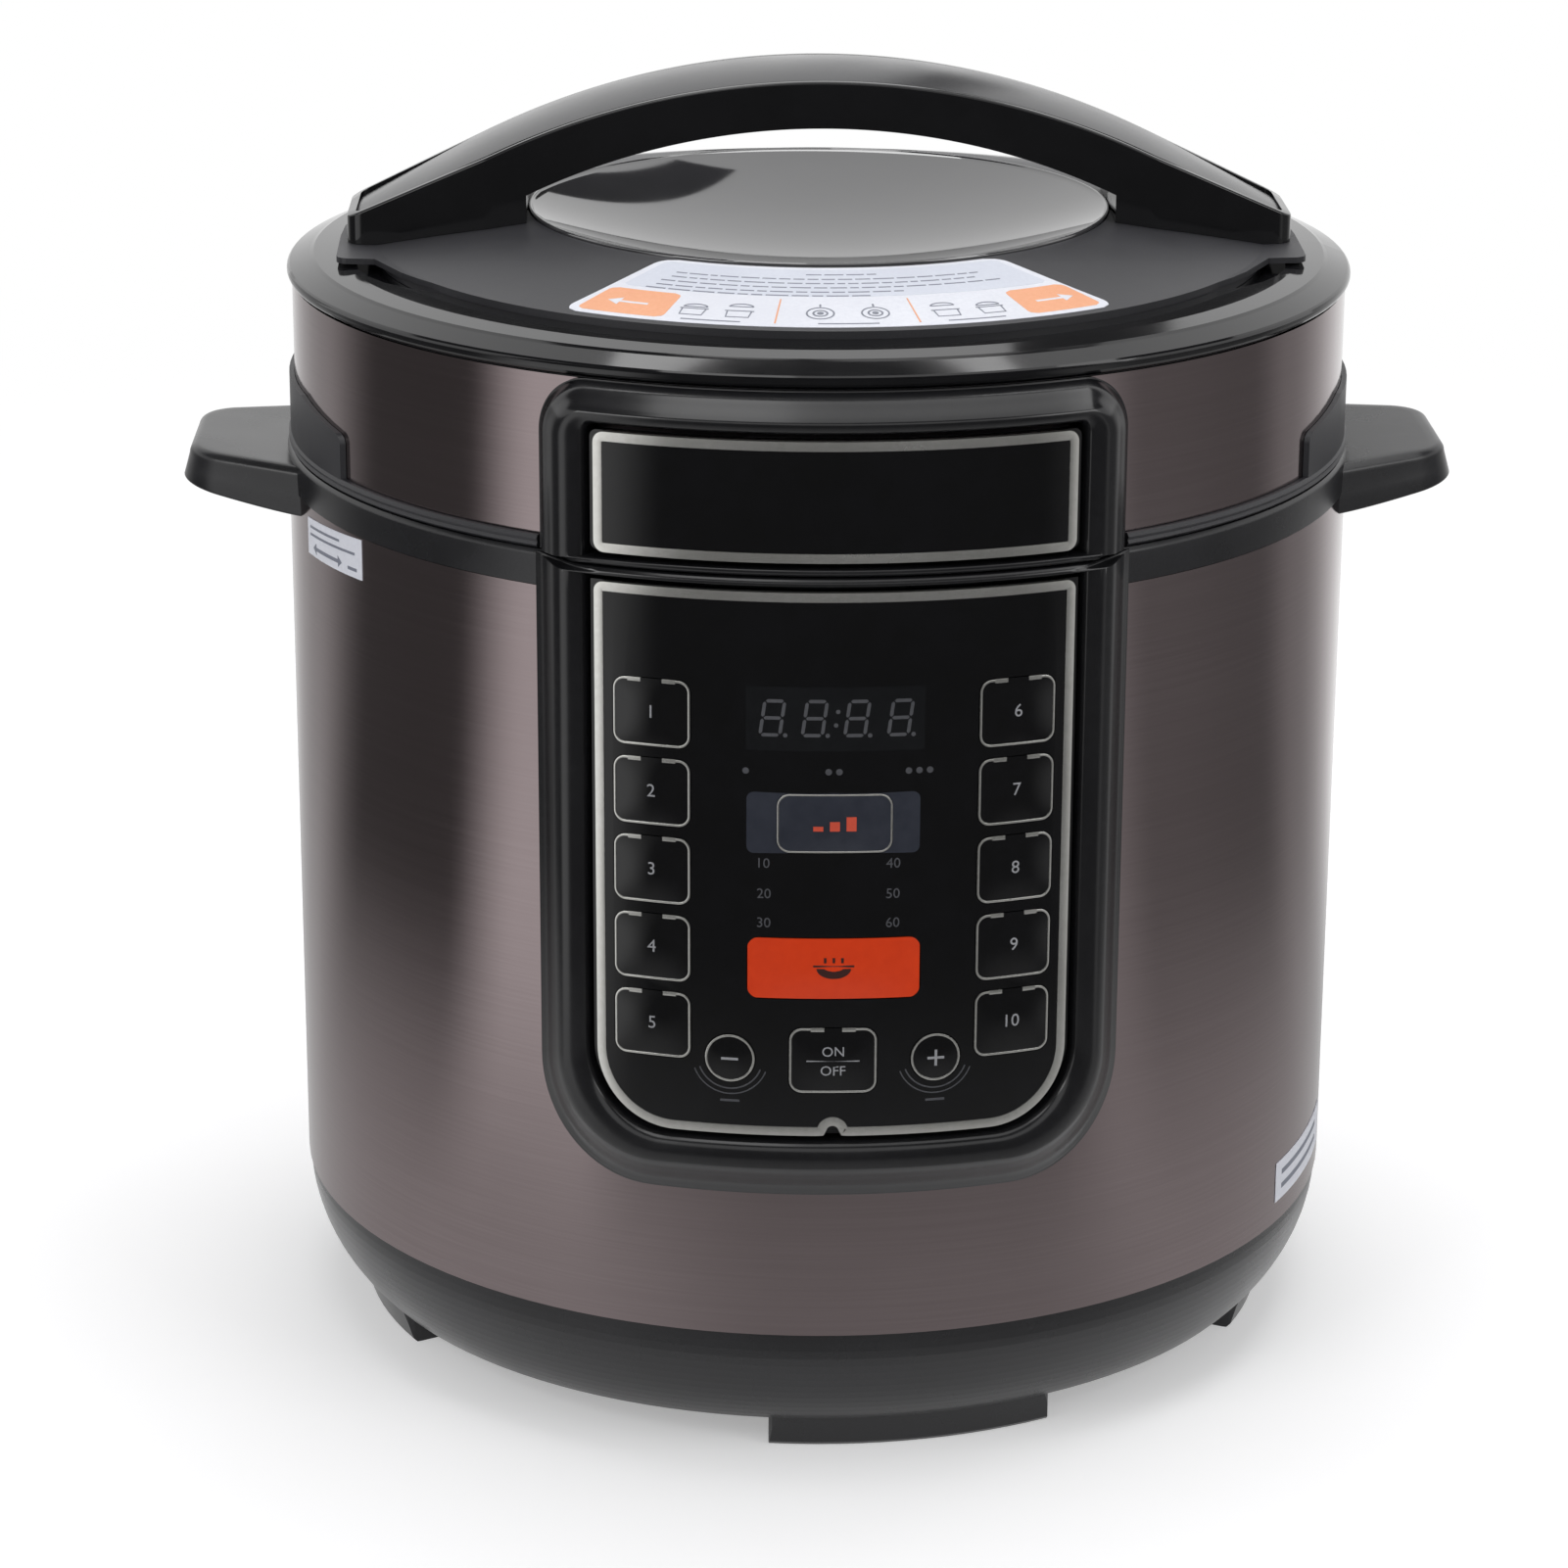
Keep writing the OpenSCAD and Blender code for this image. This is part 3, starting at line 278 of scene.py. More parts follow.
def turnedBy(angle, radius, height):
    # turned about Z from the front: x = r sin a, y = -r cos a
    x, y = radius * np.sin(angle), -radius * np.cos(angle)
    return np.stack(np.broadcast_arrays(x, y, height), -1)


def roundTheBody(flat, radius):
    # flat places are (across, height), where the distance across is an arc of the window's radius
    across, height = np.moveaxis(flat, -1, 0)
    return turnedBy(across / windowRadius, radius, height)


def turned(profile, count=240, closed=False):
    # a profile of (radius, height) carried round Z
    profile = np.array(profile)
    points = turnedBy(np.linspace(0, 2 * math.pi, count, endpoint=False), profile[:, :1],
                      profile[:, 1:])
    return points.reshape(-1, 3), gridFaces(len(profile), count, closed, True)


def extended(path):
    # the path with one more point at each end, in line with its neighbours
    return np.vstack([2 * path[:1] - path[1:2], path, 2 * path[-1:] - path[-2:-1]])


def denser(path, step, closed=False):
    # the same path with stations no further apart than the step
    path = np.asarray(path, float)
    ends = np.roll(path, -1, 0) if closed else path[1:]
    parts = []
    for start, end in zip(path, ends):
        count = max(1, int(np.ceil(np.linalg.norm(end - start) / step)))
        parts.append(between(start, end, (np.arange(count) / count)[:, None]))
    return np.vstack(parts + ([] if closed else [path[-1:]]))


def ribbon(path, width, low, high, closed=False, place=roundTheBody):
    # a strip along a path in (across, height): at each station the path's own normal, found from
    # its neighbours, carries a section from the low to the high radius with two small chamfers
    path = np.asarray(path, float)
    if closed:
        ahead, behind = np.roll(path, -1, 0), np.roll(path, 1, 0)
    else:
        ahead, behind = extended(path)[2:], extended(path)[:-2]
    along = ahead - behind
    along /= np.linalg.norm(along, axis=1)[:, None]
    normal = np.stack([-along[:, 1], along[:, 0]], 1)
    sides = np.array([-0.5, -0.5, -0.32, 0.32, 0.5, 0.5]) * width
    chamfer = 0.04
    radii = np.array([low, high - chamfer, high, high, high - chamfer, low])
    flat = path[:, None, :] + normal[:, None, :] * sides[None, :, None]
    return tube(place(flat, radii), closed)


def joinArrays(parts):
    # several meshes as one: the faces of each are shifted past the points before it
    points, faces, offset = [], [], 0
    for partPoints, partFaces in parts:
        points.append(np.asarray(partPoints))
        faces += [[i + offset for i in face] for face in partFaces]
        offset += len(partPoints)
    return np.vstack(points), faces


def roundedLoop(halfWidth, halfHeight, corner, gapWidth=0, perCorner=10):
    # outline of a rounded rectangle, run clockwise from the middle of its top; a gap leaves the
    # two ends short of that middle
    turn = np.linspace(0, math.pi / 2, perCorner)
    points = [[[gapWidth / 2, halfHeight]]]
    for sideX, sideY, start in ((1, 1, 90), (1, -1, 0), (-1, -1, -90), (-1, 1, -180)):
        angle = math.radians(start) - turn
        middle = [sideX * (halfWidth - corner), sideY * (halfHeight - corner)]
        points.append(arc(angle, corner, middle))
    return np.vstack(points + ([[[-gapWidth / 2, halfHeight]]] if gapWidth else []))


def wordOnBody(words, size, across, height, radius, lift=0.08):
    # a word as a thin solid about its own middle, read from a text object that is then removed
    curve = bpy.data.curves.new("word", "FONT")
    curve.body = words
    curve.size = size * mm
    curve.align_x = curve.align_y = "CENTER"
    curve.extrude = lift / 2 * mm
    curve.resolution_u = 3
    shown = addObject("word", curve)
    bpy.context.view_layer.update()
    solid = shown.evaluated_get(bpy.context.evaluated_depsgraph_get())
    mesh = bpy.data.meshes.new_from_object(solid)
    points = np.zeros(len(mesh.vertices) * 3)
    mesh.vertices.foreach_get("co", points)
    points = points.reshape(-1, 3) / mm
    faces = [list(p.vertices) for p in mesh.polygons]
    points[:, :2] -= ((points.min(0) + points.max(0)) / 2)[:2]
    bpy.data.objects.remove(shown)
    bpy.data.curves.remove(curve)
    bpy.data.meshes.remove(mesh)
    return roundTheBody(points[:, :2] + [across, height], radius + points[:, 2]), faces


def filledOnBody(outline, low, high, place=roundTheBody):
    # a filled outline as a thin plate: a low and a high copy of its rim and of its middle
    count = len(outline)
    flat = np.vstack([outline, np.mean(outline, 0)])
    points = np.vstack([place(flat, low), place(flat, high)])
    i = np.arange(count)
    j, top, middle = (i + 1) % count, count + 1, np.full(count, count)
    faces = [[j, i, middle], [i + top, j + top, middle + top], [i, j, j + top, i + top]]
    return points, [row for face in faces for row in np.stack(face, 1).tolist()]


def smoothKnots(knots, perSpan):
    # a curve through the knots: between two, the cubic whose slopes come from their neighbours
    padded = extended(knots)
    a, b, c, d = (x[:, None, :] for x in (padded[:-3], padded[1:-2], padded[2:-1], padded[3:]))
    t = np.linspace(0, 1, perSpan, endpoint=False)[None, :, None]
    curve = 0.5 * (2 * b + (c - a) * t + (2 * a - 5 * b + 4 * c - d) * t ** 2
                   + (3 * b - a - 3 * c + d) * t ** 3)
    return np.vstack([curve.reshape(-1, knots.shape[1]), knots[-1:]])


# The satin frames round the window and the lid's badge plate. Each is a rounded loop, inner and
# outer (half width, height of the round end, height of the square end, corner), between which one
# crowned section is carried.
framePieces = {
    "panelFrame": {
        "node": "panel_surround", "body": "base", "inner": (62.3, 93.7, 236.0, 21.0),
        "outer": (78.71, 77.2, 238.2, 31.0), "lowRadius": 141.0, "backRadius": 140.55},
    "lidFrame": {
        "node": "lid_surround", "body": "lid", "inner": (62.3, 273.0, 240.5, 2.5),
        "outer": (78.71, 281.9, 238.5, 14.0), "lowRadius": 139.0, "backRadius": 138.5},
}


def frameLoop(half, roundHeight, squareHeight, corner, perSide=24, perCorner=20, perEnd=60):
    # stations (across, height, share of the square end): up one side, round two corners, down the
    # other side and back along the square end
    up = np.sign(squareHeight - roundHeight)
    side = np.linspace(squareHeight, roundHeight + up * corner, perSide, endpoint=False)
    rounded = arc(np.linspace(0, math.pi / 2, perCorner), [-corner, -up * corner],
                  [corner - half, roundHeight + up * corner])
    bottom = np.linspace(corner - half, half - corner, perEnd + 1)[1:-1]
    end = np.linspace(half, -half, perEnd + 1)[1:-1]
    share = np.clip((half - np.abs(end)) / 10, 0, 1)  # the section changes over 10 mm
    left = np.vstack([np.stack([0 * side - half, side], 1), rounded])
    loop = np.vstack([left, np.stack([bottom, 0 * bottom + roundHeight], 1), left[::-1] * [-1, 1],
                      np.stack([end, 0 * end + squareHeight], 1)])
    return np.column_stack([loop, np.append(np.zeros(len(loop) - len(end)), share)])


for pieceName, values in framePieces.items():
    low, back = values["lowRadius"], values["backRadius"]
    # the section: share of the way outwards, the radius along the sides and at the square end
    knots = np.array([
        [0, 145.4, 145.4], [0.05, 146.7, 146.7], [0.14, 147.55, 147.35], [0.3, 147.95, 147.5],
        [0.45, 147.2, 147.5], [0.64, 144.9, 147.3], [0.82, 142.6, 147.0], [0.95, low + 0.4, 146.6],
        [1, low, 146.0]])
    section = np.vstack([smoothKnots(knots, 6), [[1, back, back], [0, back, back]]])[None]
    inner, outer = (frameLoop(*values[key])[:, None] for key in ("inner", "outer"))
    flat = between(inner, outer, section[..., :1])[..., :2]
    radius = between(section[..., 1], section[..., 2], inner[..., 2])
    makePiece(pieceName, tube(roundTheBody(flat, radius), True), "satinAbsFrame", values["body"],
              40, values["node"])
print("frames made")

# The bright line round the window, with the small half-round notch in its lower edge, and the
# one round the lid's badge plate.
brightLine = {"width": 2.3, "back": 145.45, "front": 147.1, "step": 3}
panelLine = {"half": 58.25, "low": 96.65, "high": 233.45, "corner": 18.85, "square": 1.2,
             "notch": 2.7, "fillet": 1.2}
lidLine = {"half": 58.25, "low": 243.05, "high": 270.35, "corner": 1.6}


def panelLinePath(half, low, high, corner, square, notch, fillet):
    # from the middle of the top round the left side to the notch, half a circle over it, and back
    turn, small = np.linspace(0, math.pi / 2, 20), np.linspace(math.pi / 2, math.pi, 6)
    top = np.linspace(square - half, half - square, 50)[24::-1]
    side = np.linspace(high - square, low + corner, 30)
    bottom = np.linspace(corner - half, -notch - fillet, 24)
    left = np.vstack([
        np.stack([top, 0 * top + high], 1),
        arc(small, square, [square - half, high - square])[1:],
        np.stack([0 * side - half, side], 1)[1:],
        arc(turn, -corner, [corner - half, low + corner])[1:],
        np.stack([bottom, 0 * bottom + low], 1)[1:]])
    over = arc(np.linspace(math.pi, 0, 17), notch, [0, low])
    return np.vstack([left, over, left[::-1] * [-1, 1]])


lidLoop = roundedLoop(lidLine["half"], (lidLine["high"] - lidLine["low"]) / 2, lidLine["corner"])
lidLoop = denser(lidLoop + [0, (lidLine["low"] + lidLine["high"]) / 2], brightLine["step"], True)
for pieceName, path, body, nodeName in (
        ("panelLine", panelLinePath(**panelLine), "base", "panel_trim"),
        ("lidLine", lidLoop, "lid", "lid_trim")):
    makePiece(pieceName, ribbon(path, brightLine["width"], brightLine["back"], brightLine["front"],
                                True), "platedLine", body, 30, nodeName)
print("bright lines made")

# Keys: a cap whose face is crowned like a pillow, a plated line round it with a gap at the top,
# and what is printed on it.
keyShape = {
    "function": {"half": (9.7, 8.5), "corner": 3.0, "line": 0.5, "gap": 6.0},
    "round": {"half": (6.2, 6.2), "corner": 6.199, "line": 0.5, "gap": 0},
    "cancel": {"half": (10.75, 8.5), "corner": 3.2, "line": 0.5, "gap": 5.0},
    "upper": {"half": (14.0, 7.5), "corner": 3.2, "line": 0.4, "gap": 0},
    "lower": {"half": (21.0, 7.8), "corner": 2.4, "line": 0, "gap": 0},
}
keyFinish = {"upper": "smokedBar", "lower": "orangeKeyCap"}  # the others have glossKeyCap
keyFace = {"rim": 146.85, "crown": 0.62, "back": 143.75, "rings": 14}
keyLine = {"low": 146.6, "high": 147.08, "in": 0.05, "bar": (-0.3, 3), "barDown": 0.1,
           "barWidth": 1.0, "barHigh": 147.12}
keyRows = {"angle": 17.5, "top": 203, "pitch": 20, "roundAngle": 9.9, "lowest": 115.4}
keyPlaces = {}  # the kind, the angle from the front, the height and the sign
for row in range(5):
    height = keyRows["top"] - keyRows["pitch"] * row
    keyPlaces[f"key_left_{row + 1}"] = ("function", -keyRows["angle"], height, str(row + 1))
    keyPlaces[f"key_right_{row + 1}"] = ("function", keyRows["angle"], height, str(row + 6))
keyPlaces.update({
    "key_minus": ("round", -keyRows["roundAngle"], keyRows["lowest"], "minus"),
    "key_plus": ("round", keyRows["roundAngle"], keyRows["lowest"], "plus"),
    "key_cancel": ("cancel", 0, keyRows["lowest"], "onOff"),
    "key_upper_bar": ("upper", 0, 176.8, "steps"),
    "key_lower_bar": ("lower", 0, 139.4, "bowl")})


def keyCap(shape, angle, height):
    # rings grow from the middle of the face to its rim; a point (u, v) of the face, measured from
    # -1 to 1, stands proud by crown * (1 - u^2)(1 - v^2); the side goes straight back from the rim
    # and one more ring closes the back. The sides stay square to the key's own direction, so each
    # flat place is turned by the angle.
    halfWidth, halfHeight = shape["half"]
    loop = denser(roundedLoop(halfWidth, halfHeight, shape["corner"], perCorner=8), 2, True)
    share = np.append(np.linspace(0, 1, keyFace["rings"] + 1), [1, 0])
    x, z = np.moveaxis(loop * share[:, None, None], -1, 0)
    proud = keyFace["crown"] * (1 - (x / halfWidth) ** 2) * (1 - (z / halfHeight) ** 2)
    radius = keyFace["rim"] + proud
    # the back's long facets sag below their arc, so they start that much further out
    radius[-2:] = keyFace["back"] + halfWidth ** 2 / (8 * keyFace["rim"])
    depth = -np.sqrt(radius ** 2 - x ** 2)
    cosine, sine = math.cos(math.radians(angle)), math.sin(math.radians(angle))
    points = np.stack([x * cosine - depth * sine, x * sine + depth * cosine, z + height], -1)
    return points.reshape(-1, 3), gridFaces(len(share), len(loop), False, True)


def bar(x0, x1, z0, z1):
    return np.array([[x0, z0], [x1, z0], [x1, z1], [x0, z1]])


# Signs drawn from plain outlines, as lists of filled outlines in (across, height).
signs = {
    "minus": [bar(-2.1, 2.1, -0.32, 0.32)],
    "plus": [bar(-2.1, 2.1, -0.32, 0.32), bar(-0.32, 0.32, 0.34, 2.1),
             bar(-0.32, 0.32, -2.1, -0.34)],
    "steps": [bar(-5.2 + 4 * k, -2.8 + 4 * k, -1.8, -0.6 + 1.2 * k) for k in range(3)],
    "bowl": [arc(np.linspace(math.pi, 2 * math.pi, 21), [4.2, 2.6], [0, 0.2]), bar(-5, 5, 0.6, 1.1),
             *[bar(-2.4 + 2.1 * k, -1.8 + 2.1 * k, 1.7, 3.0) for k in range(3)]],
}
signShape = {"digit": 4.6, "digitUp": 0.4, "digitAt": -0.01, "word": 3.6, "wordUp": 2.5,
             "wordAt": -0.06, "rule": (6.5, 0.12), "ruleFrom": -0.3, "ruleTo": 0.02,
             "from": -0.25, "to": 0.03}  # the last ones are from the top of the key's crown
signInk = {"steps": "orangeInk", "bowl": "darkInk"}
for keyName, (kind, angle, height, sign) in keyPlaces.items():
    shape, short, at = keyShape[kind], keyName[4:], np.array([angle * degree, height])
    makePiece(f"cap_{short}", keyCap(shape, angle, height), keyFinish.get(kind, "glossKeyCap"),
              keyName, 38, keyName)
    gap, width = shape["gap"], shape["line"]
    if width:
        inset = width / 2 + keyLine["in"]
        halfWidth, halfHeight, corner = np.array([*shape["half"], shape["corner"]]) - inset
        path = denser(roundedLoop(halfWidth, halfHeight, max(corner, 0.5), gap), 1.5, not gap)
        parts = [ribbon(path + at, width, keyLine["low"], keyLine["high"], not gap)]
        for side in (-1, 1) if gap else ():
            # the line is thicker for a short way on each side of its gap
            path = [[side * (gap / 2 + past), halfHeight - keyLine["barDown"]]
                    for past in keyLine["bar"]]
            parts.append(ribbon(denser(path, 1) + at, keyLine["barWidth"], keyLine["low"],
                                keyLine["barHigh"]))
        makePiece(f"outline_{short}", joinArrays(parts), "platedLine", keyName, 30)
    top = keyFace["rim"] + keyFace["crown"]
    if sign == "onOff":
        rule, thin = signShape["rule"]
        parts = [wordOnBody(words, signShape["word"], at[0], height + up, top + signShape["wordAt"])
                 for words, up in (("ON", signShape["wordUp"]), ("OFF", -signShape["wordUp"]))]
        parts.append(filledOnBody(bar(-rule, rule, -thin, thin) + at, top + signShape["ruleFrom"],
                                  top + signShape["ruleTo"]))
    elif sign.isdigit():
        parts = [wordOnBody(sign, signShape["digit"], at[0], height + signShape["digitUp"],
                            top + signShape["digitAt"])]
    else:
        parts = [filledOnBody(outline + at, top + signShape["from"], top + signShape["to"])
                 for outline in signs[sign]]
    makePiece(f"sign_{short}", joinArrays(parts), signInk.get(sign, "paleInk"), keyName)
print("keys made:", len(keyPlaces))

# Smoked field round the upper bar: a thin frame between two rounded loops, flush with the window.
barField = {"outer": (21.05, 7.8, 1.8), "shift": -0.35, "inner": (14.12, 7.62, 3.3),
            "height": 176.8, "low": 146.8, "high": 146.95, "rings": 6}
outer = roundedLoop(*barField["outer"], perCorner=24) + [barField["shift"], barField["height"]]
inner = roundedLoop(*barField["inner"], perCorner=24) + [0, barField["height"]]
flat = between(outer, inner, np.linspace(0, 1, barField["rings"])[:, None, None])
flat = np.concatenate([flat, flat[::-1]])
radius = np.repeat([barField["high"], barField["low"]], barField["rings"])[:, None]
makePiece("barField", tube(roundTheBody(flat, radius), True), "smokedBar", "base")

# The display behind the window: a smoked field with four slanted seven-segment digits.
display = {
    "half": 21.6, "low": 195.2, "high": 211.2, "field": (146.93, 146.75), "ink": (146.9, 146.97),
    "middles": (-15.2, -5.0, 5.2, 15.7), "digit": (5.6, 9.4), "bar": 0.85, "gap": 0.22,
    "slant": 0.14, "height": 203.4, "dot": 0.55, "point": (3.1, -4.3), "colon": (0.35, 1.7)}


def segmentOutlines(digit, bar, gap, slant):
    # seven bars with pointed ends: three level, four upright, all leaning by the slant
    w, h, b = digit[0] / 2, digit[1] / 2, bar / 2
    outlines = []
    for z in (h - b, 0, b - h):
        outlines.append([[-w + b + gap, z], [-w + 2 * b + gap, z + b], [w - 2 * b - gap, z + b],
                         [w - b - gap, z], [w - 2 * b - gap, z - b], [-w + 2 * b + gap, z - b]])
    for x in (-w + b, w - b):
        for z0, z1 in ((gap, h - b - gap), (-h + b + gap, -gap)):
            outlines.append([[x, z1], [x + b, z1 - b], [x + b, z0 + b], [x, z0], [x - b, z0 + b],
                             [x - b, z1 - b]])
    return [np.array(o) + np.array(o)[:, 1:] * [slant, 0] for o in outlines]


flat = np.stack(np.meshgrid(np.linspace(-display["half"], display["half"], 40),
                            np.linspace(display["low"], display["high"], 3), indexing="ij"), -1)
makePiece("displayField", slab(*[roundTheBody(flat, radius) for radius in display["field"]]),
          "smokedDisplay", "base")
dot = arc(np.linspace(0, 2 * math.pi, 12, endpoint=False), display["dot"])
outlines = []
for middle in display["middles"]:
    at = np.array([middle, display["height"]])
    outlines += [outline + at for outline in segmentOutlines(
        *[display[key] for key in ("digit", "bar", "gap", "slant")])]
    outlines.append(dot + at + display["point"])
for up in (display["colon"][1], -display["colon"][1]):
    outlines.append(dot + [display["colon"][0] + up * display["slant"], display["height"] + up])
makePiece("displaySegments", joinArrays([filledOnBody(outline, *display["ink"])
                                         for outline in outlines]), "unlitSegment", "base")

# Small marks printed on the window: steps over the upper bar, times between the bars, and shallow
# arcs round the lower half of the two round keys with a short rule below them.
windowMarks = {
    "dots": ((-21.6, 1), (-0.3, 2), (20.4, 3)), "dotHeight": 189.9, "dotPitch": 2.6, "dotSize": 1.5,
    "times": ((-17.1, 166.5, "10"), (-17.1, 158.7, "20"), (-17.1, 151.2, "30"),
              (14.3, 166.5, "40"), (14.3, 158.7, "50"), (14.3, 151.2, "60")), "timeSize": 3.6,
    "arcs": ((8.0, 0.35), (9.4, 0.3)), "arcFrom": 200, "arcTo": 340,
    "rule": (2.4, 104.2, 0.6), "low": 146.85, "high": 146.95, "dotHigh": 146.94, "timeAt": 146.9}
low, high = windowMarks["low"], windowMarks["high"]
parts = []
for middle, count in windowMarks["dots"]:
    for k in range(count):
        at = [middle + (k - (count - 1) / 2) * windowMarks["dotPitch"], windowMarks["dotHeight"]]
        parts.append(filledOnBody(dot * windowMarks["dotSize"] + at, low, windowMarks["dotHigh"]))
for middle, height, words in windowMarks["times"]:
    parts.append(wordOnBody(words, windowMarks["timeSize"], middle, height, windowMarks["timeAt"]))
sweep = np.radians(np.linspace(windowMarks["arcFrom"], windowMarks["arcTo"], 30))
reach, height, ruleWidth = windowMarks["rule"]
for side in (-1, 1):
    middle = side * keyRows["roundAngle"] * degree
    for size, width in windowMarks["arcs"]:
        parts.append(ribbon(arc(sweep, size, [middle, keyRows["lowest"]]), width, low, high))
    path = denser([[middle - reach, height], [middle + reach, height]], 1.5)
    parts.append(ribbon(path, ruleWidth, low, high))
makePiece("windowMarks", joinArrays(parts), "dimInk", "base")
print("display and marks made")

# The collar with its two ears: a turned ring, and on each side an ear whose plan is rounded at the
# tip and whose edges are rounded over.
collar = {
    "profile": ((138.9, 214), (138.9, 229.3), (140.3, 229.45), (140.3, 236.8), (140.05, 237.5),
                (139.4, 238.2), (129.5, 238.2), (129.5, 235.8), (134.2, 235.8), (134.2, 230.3),
                (129.5, 230.3), (129.5, 227.8), (136, 227.8), (136, 214)),
    "reach": 166.9, "root": 38.0, "rootAt": 134.0, "tip": 29.6, "corner": 15.5, "lean": 1.6,
    "top": (236.4, 238.5), "under": (223.9, 229.3), "topRound": 2.6, "underRound": 0.8,
    "flatPart": 0.65, "sweep": 1.3}


def earOutline(inset):
    # half the plan is a straight side, which meets a circle, and the flat tip; the rest mirrors it
    v = collar
    centre = np.array([v["reach"] - v["corner"], v["tip"] - v["corner"]])
    toRoot = np.array([v["rootAt"], v["root"]]) - centre
    tangent = math.atan2(toRoot[1], toRoot[0]) - math.acos(v["corner"] / np.linalg.norm(toRoot))
    rounded = arc(np.linspace(tangent, 0, 16), v["corner"] - inset, centre)
    root = np.array([v["rootAt"], v["root"] - inset / math.sin(tangent)])
    side = between(root, rounded[0], np.linspace(0, 1, 12, endpoint=False)[:, None])
    flat = np.stack([np.full(5, v["reach"] - inset), np.linspace(centre[1], 0, 6)[1:]], 1)
    half = np.vstack([side, rounded, flat])
    return np.vstack([half, half[-2::-1] * [1, -1]])


def earMesh(side):
    # rings of the plan, each with its inset, its rise and its shares of the under side's and the
    # top's heights: from the middle of the top outwards and over the edge, halfway down the side,
    # and round the lower edge to the underside
    v = collar
    edge, middle = v["topRound"] + v["lean"], v["corner"] * v["flatPart"]
    turn = np.linspace(0, math.pi / 2, 8)
    rings = [(share * middle + edge, 0, 0, 1) for share in (1.0, 0.5, 0.2)]
    rings += [(edge - v["topRound"] * math.sin(t), v["topRound"] * (math.cos(t) - 1), 0, 1)
              for t in turn]
    rings += [(v["lean"] / 2, (v["underRound"] - v["topRound"]) / 2, 0.5, 0.5)]
    rings += [(v["underRound"] * (1 - math.cos(t)), v["underRound"] * (1 - math.sin(t)), 1, 0)
              for t in turn]
    points = []
    for inset, rise, underShare, topShare in rings:
        plan = earOutline(inset)
        run = np.clip((plan[:, 0] - v["rootAt"]) / (v["reach"] - v["rootAt"]), 0, 1)
        top, under = between(*v["top"], run), between(*v["under"], run ** v["sweep"])
        points.append(np.stack([side * plan[:, 0], plan[:, 1],
                                top * topShare + under * underShare + rise], 1))
    count = len(points[0])
    faces = gridFaces(len(rings), count, False, True)
    i = np.arange((count - 1) // 2)
    for start in (0, (len(rings) - 1) * count):  # the middle of the top and of the underside
        faces += (np.stack([i, i + 1, count - 2 - i, count - 1 - i], 1) + start).tolist()
    return np.vstack(points), faces


makePiece("collarWithEars", joinArrays([turned(collar["profile"], closed=True), earMesh(1),
                                        earMesh(-1)]),
          "mouldedPolypropylene", "base", 32, "upper_collar")
print("collar made")

# The matt plate falls from the bowl's rim to its own edge.
plateShape = {"bowlRadius": 76.0, "plateRadius": 116.4, "top": 298.2, "fall": 7.1, "power": 1.15}


def plateHeight(radius):
    # z = top - fall * s^power, where s runs from 0 at the bowl's rim to 1 at the plate's edge
    v = plateShape
    share = np.clip((radius - v["bowlRadius"]) / (v["plateRadius"] - v["bowlRadius"]), 0, 1)
    return v["top"] - v["fall"] * share ** v["power"]


# The glossy bowl under the handle: a shallow dish turned from one profile, with a rolled rim.
bowlShape = {"rim": 76.0, "top": 299.0, "depth": 14.0, "wall": 2.0, "skirt": 3.4, "roll": 0.55}


def bowlProfile(rim, top, depth, wall, skirt, roll):
    # the dish is part of a sphere: z = centre - sqrt(R^2 - r^2); a small arc rolls over the rim
    sphere = (rim ** 2 + depth ** 2) / (2 * depth)
    centre = top - depth + sphere
    r = np.linspace(0, rim - 2 * roll - 0.1, 60)
    inside = np.stack([r, centre - np.sqrt(sphere ** 2 - r ** 2)], 1)
    rolled = arc(np.linspace(math.radians(160), 0, 12), roll, [rim - roll, top - roll])
    r = np.linspace(rim - 1, 0, 30)
    under = np.stack([r, centre - np.sqrt((sphere + wall) ** 2 - r ** 2)], 1)
    return np.vstack([inside, rolled, [[rim, top - skirt]], under])


makePiece("bowlDish", turned(bowlProfile(**bowlShape), 480), "polishedBowl", "lid",
          50, "handle_bowl")
print("bowl made")

# The handle: a rim with its sides and feet, and the crowned strip let into the top. Both follow
# one arch, which runs out straight beyond an angle, and one plan, which tapers to its ends.
handle = {
    "arch": 200.0, "archHeight": 136.1, "drop": 1.7, "rimTurn": 24.5, "stripTurn": 28.0,
    "half": 122.8, "middleHalf": 22.0, "endHalf": 16.5, "straight": 86.0, "corner": 5.0,
    "underRadius": 175.4, "underHeight": 147.0, "rimWidth": 2.3, "stripInset": 2.45,
    "groove": 6.0, "edge": 0.6, "lift": 0.12, "lip": (0.25, 0.2), "stripLift": 0.2,
    "stripSide": 0.05}


def archHeightAt(x, radius, turn):
    # z = centre + sqrt(R^2 - x^2) within the angle, and the tangent's straight line beyond it
    x, t = np.abs(x), math.radians(turn)
    inside = handle["archHeight"] + np.sqrt(np.maximum(radius ** 2 - x ** 2, 0))
    beyond = handle["archHeight"] + radius / math.cos(t) - x * math.tan(t)
    return np.where(x < radius * math.sin(t), inside, beyond)


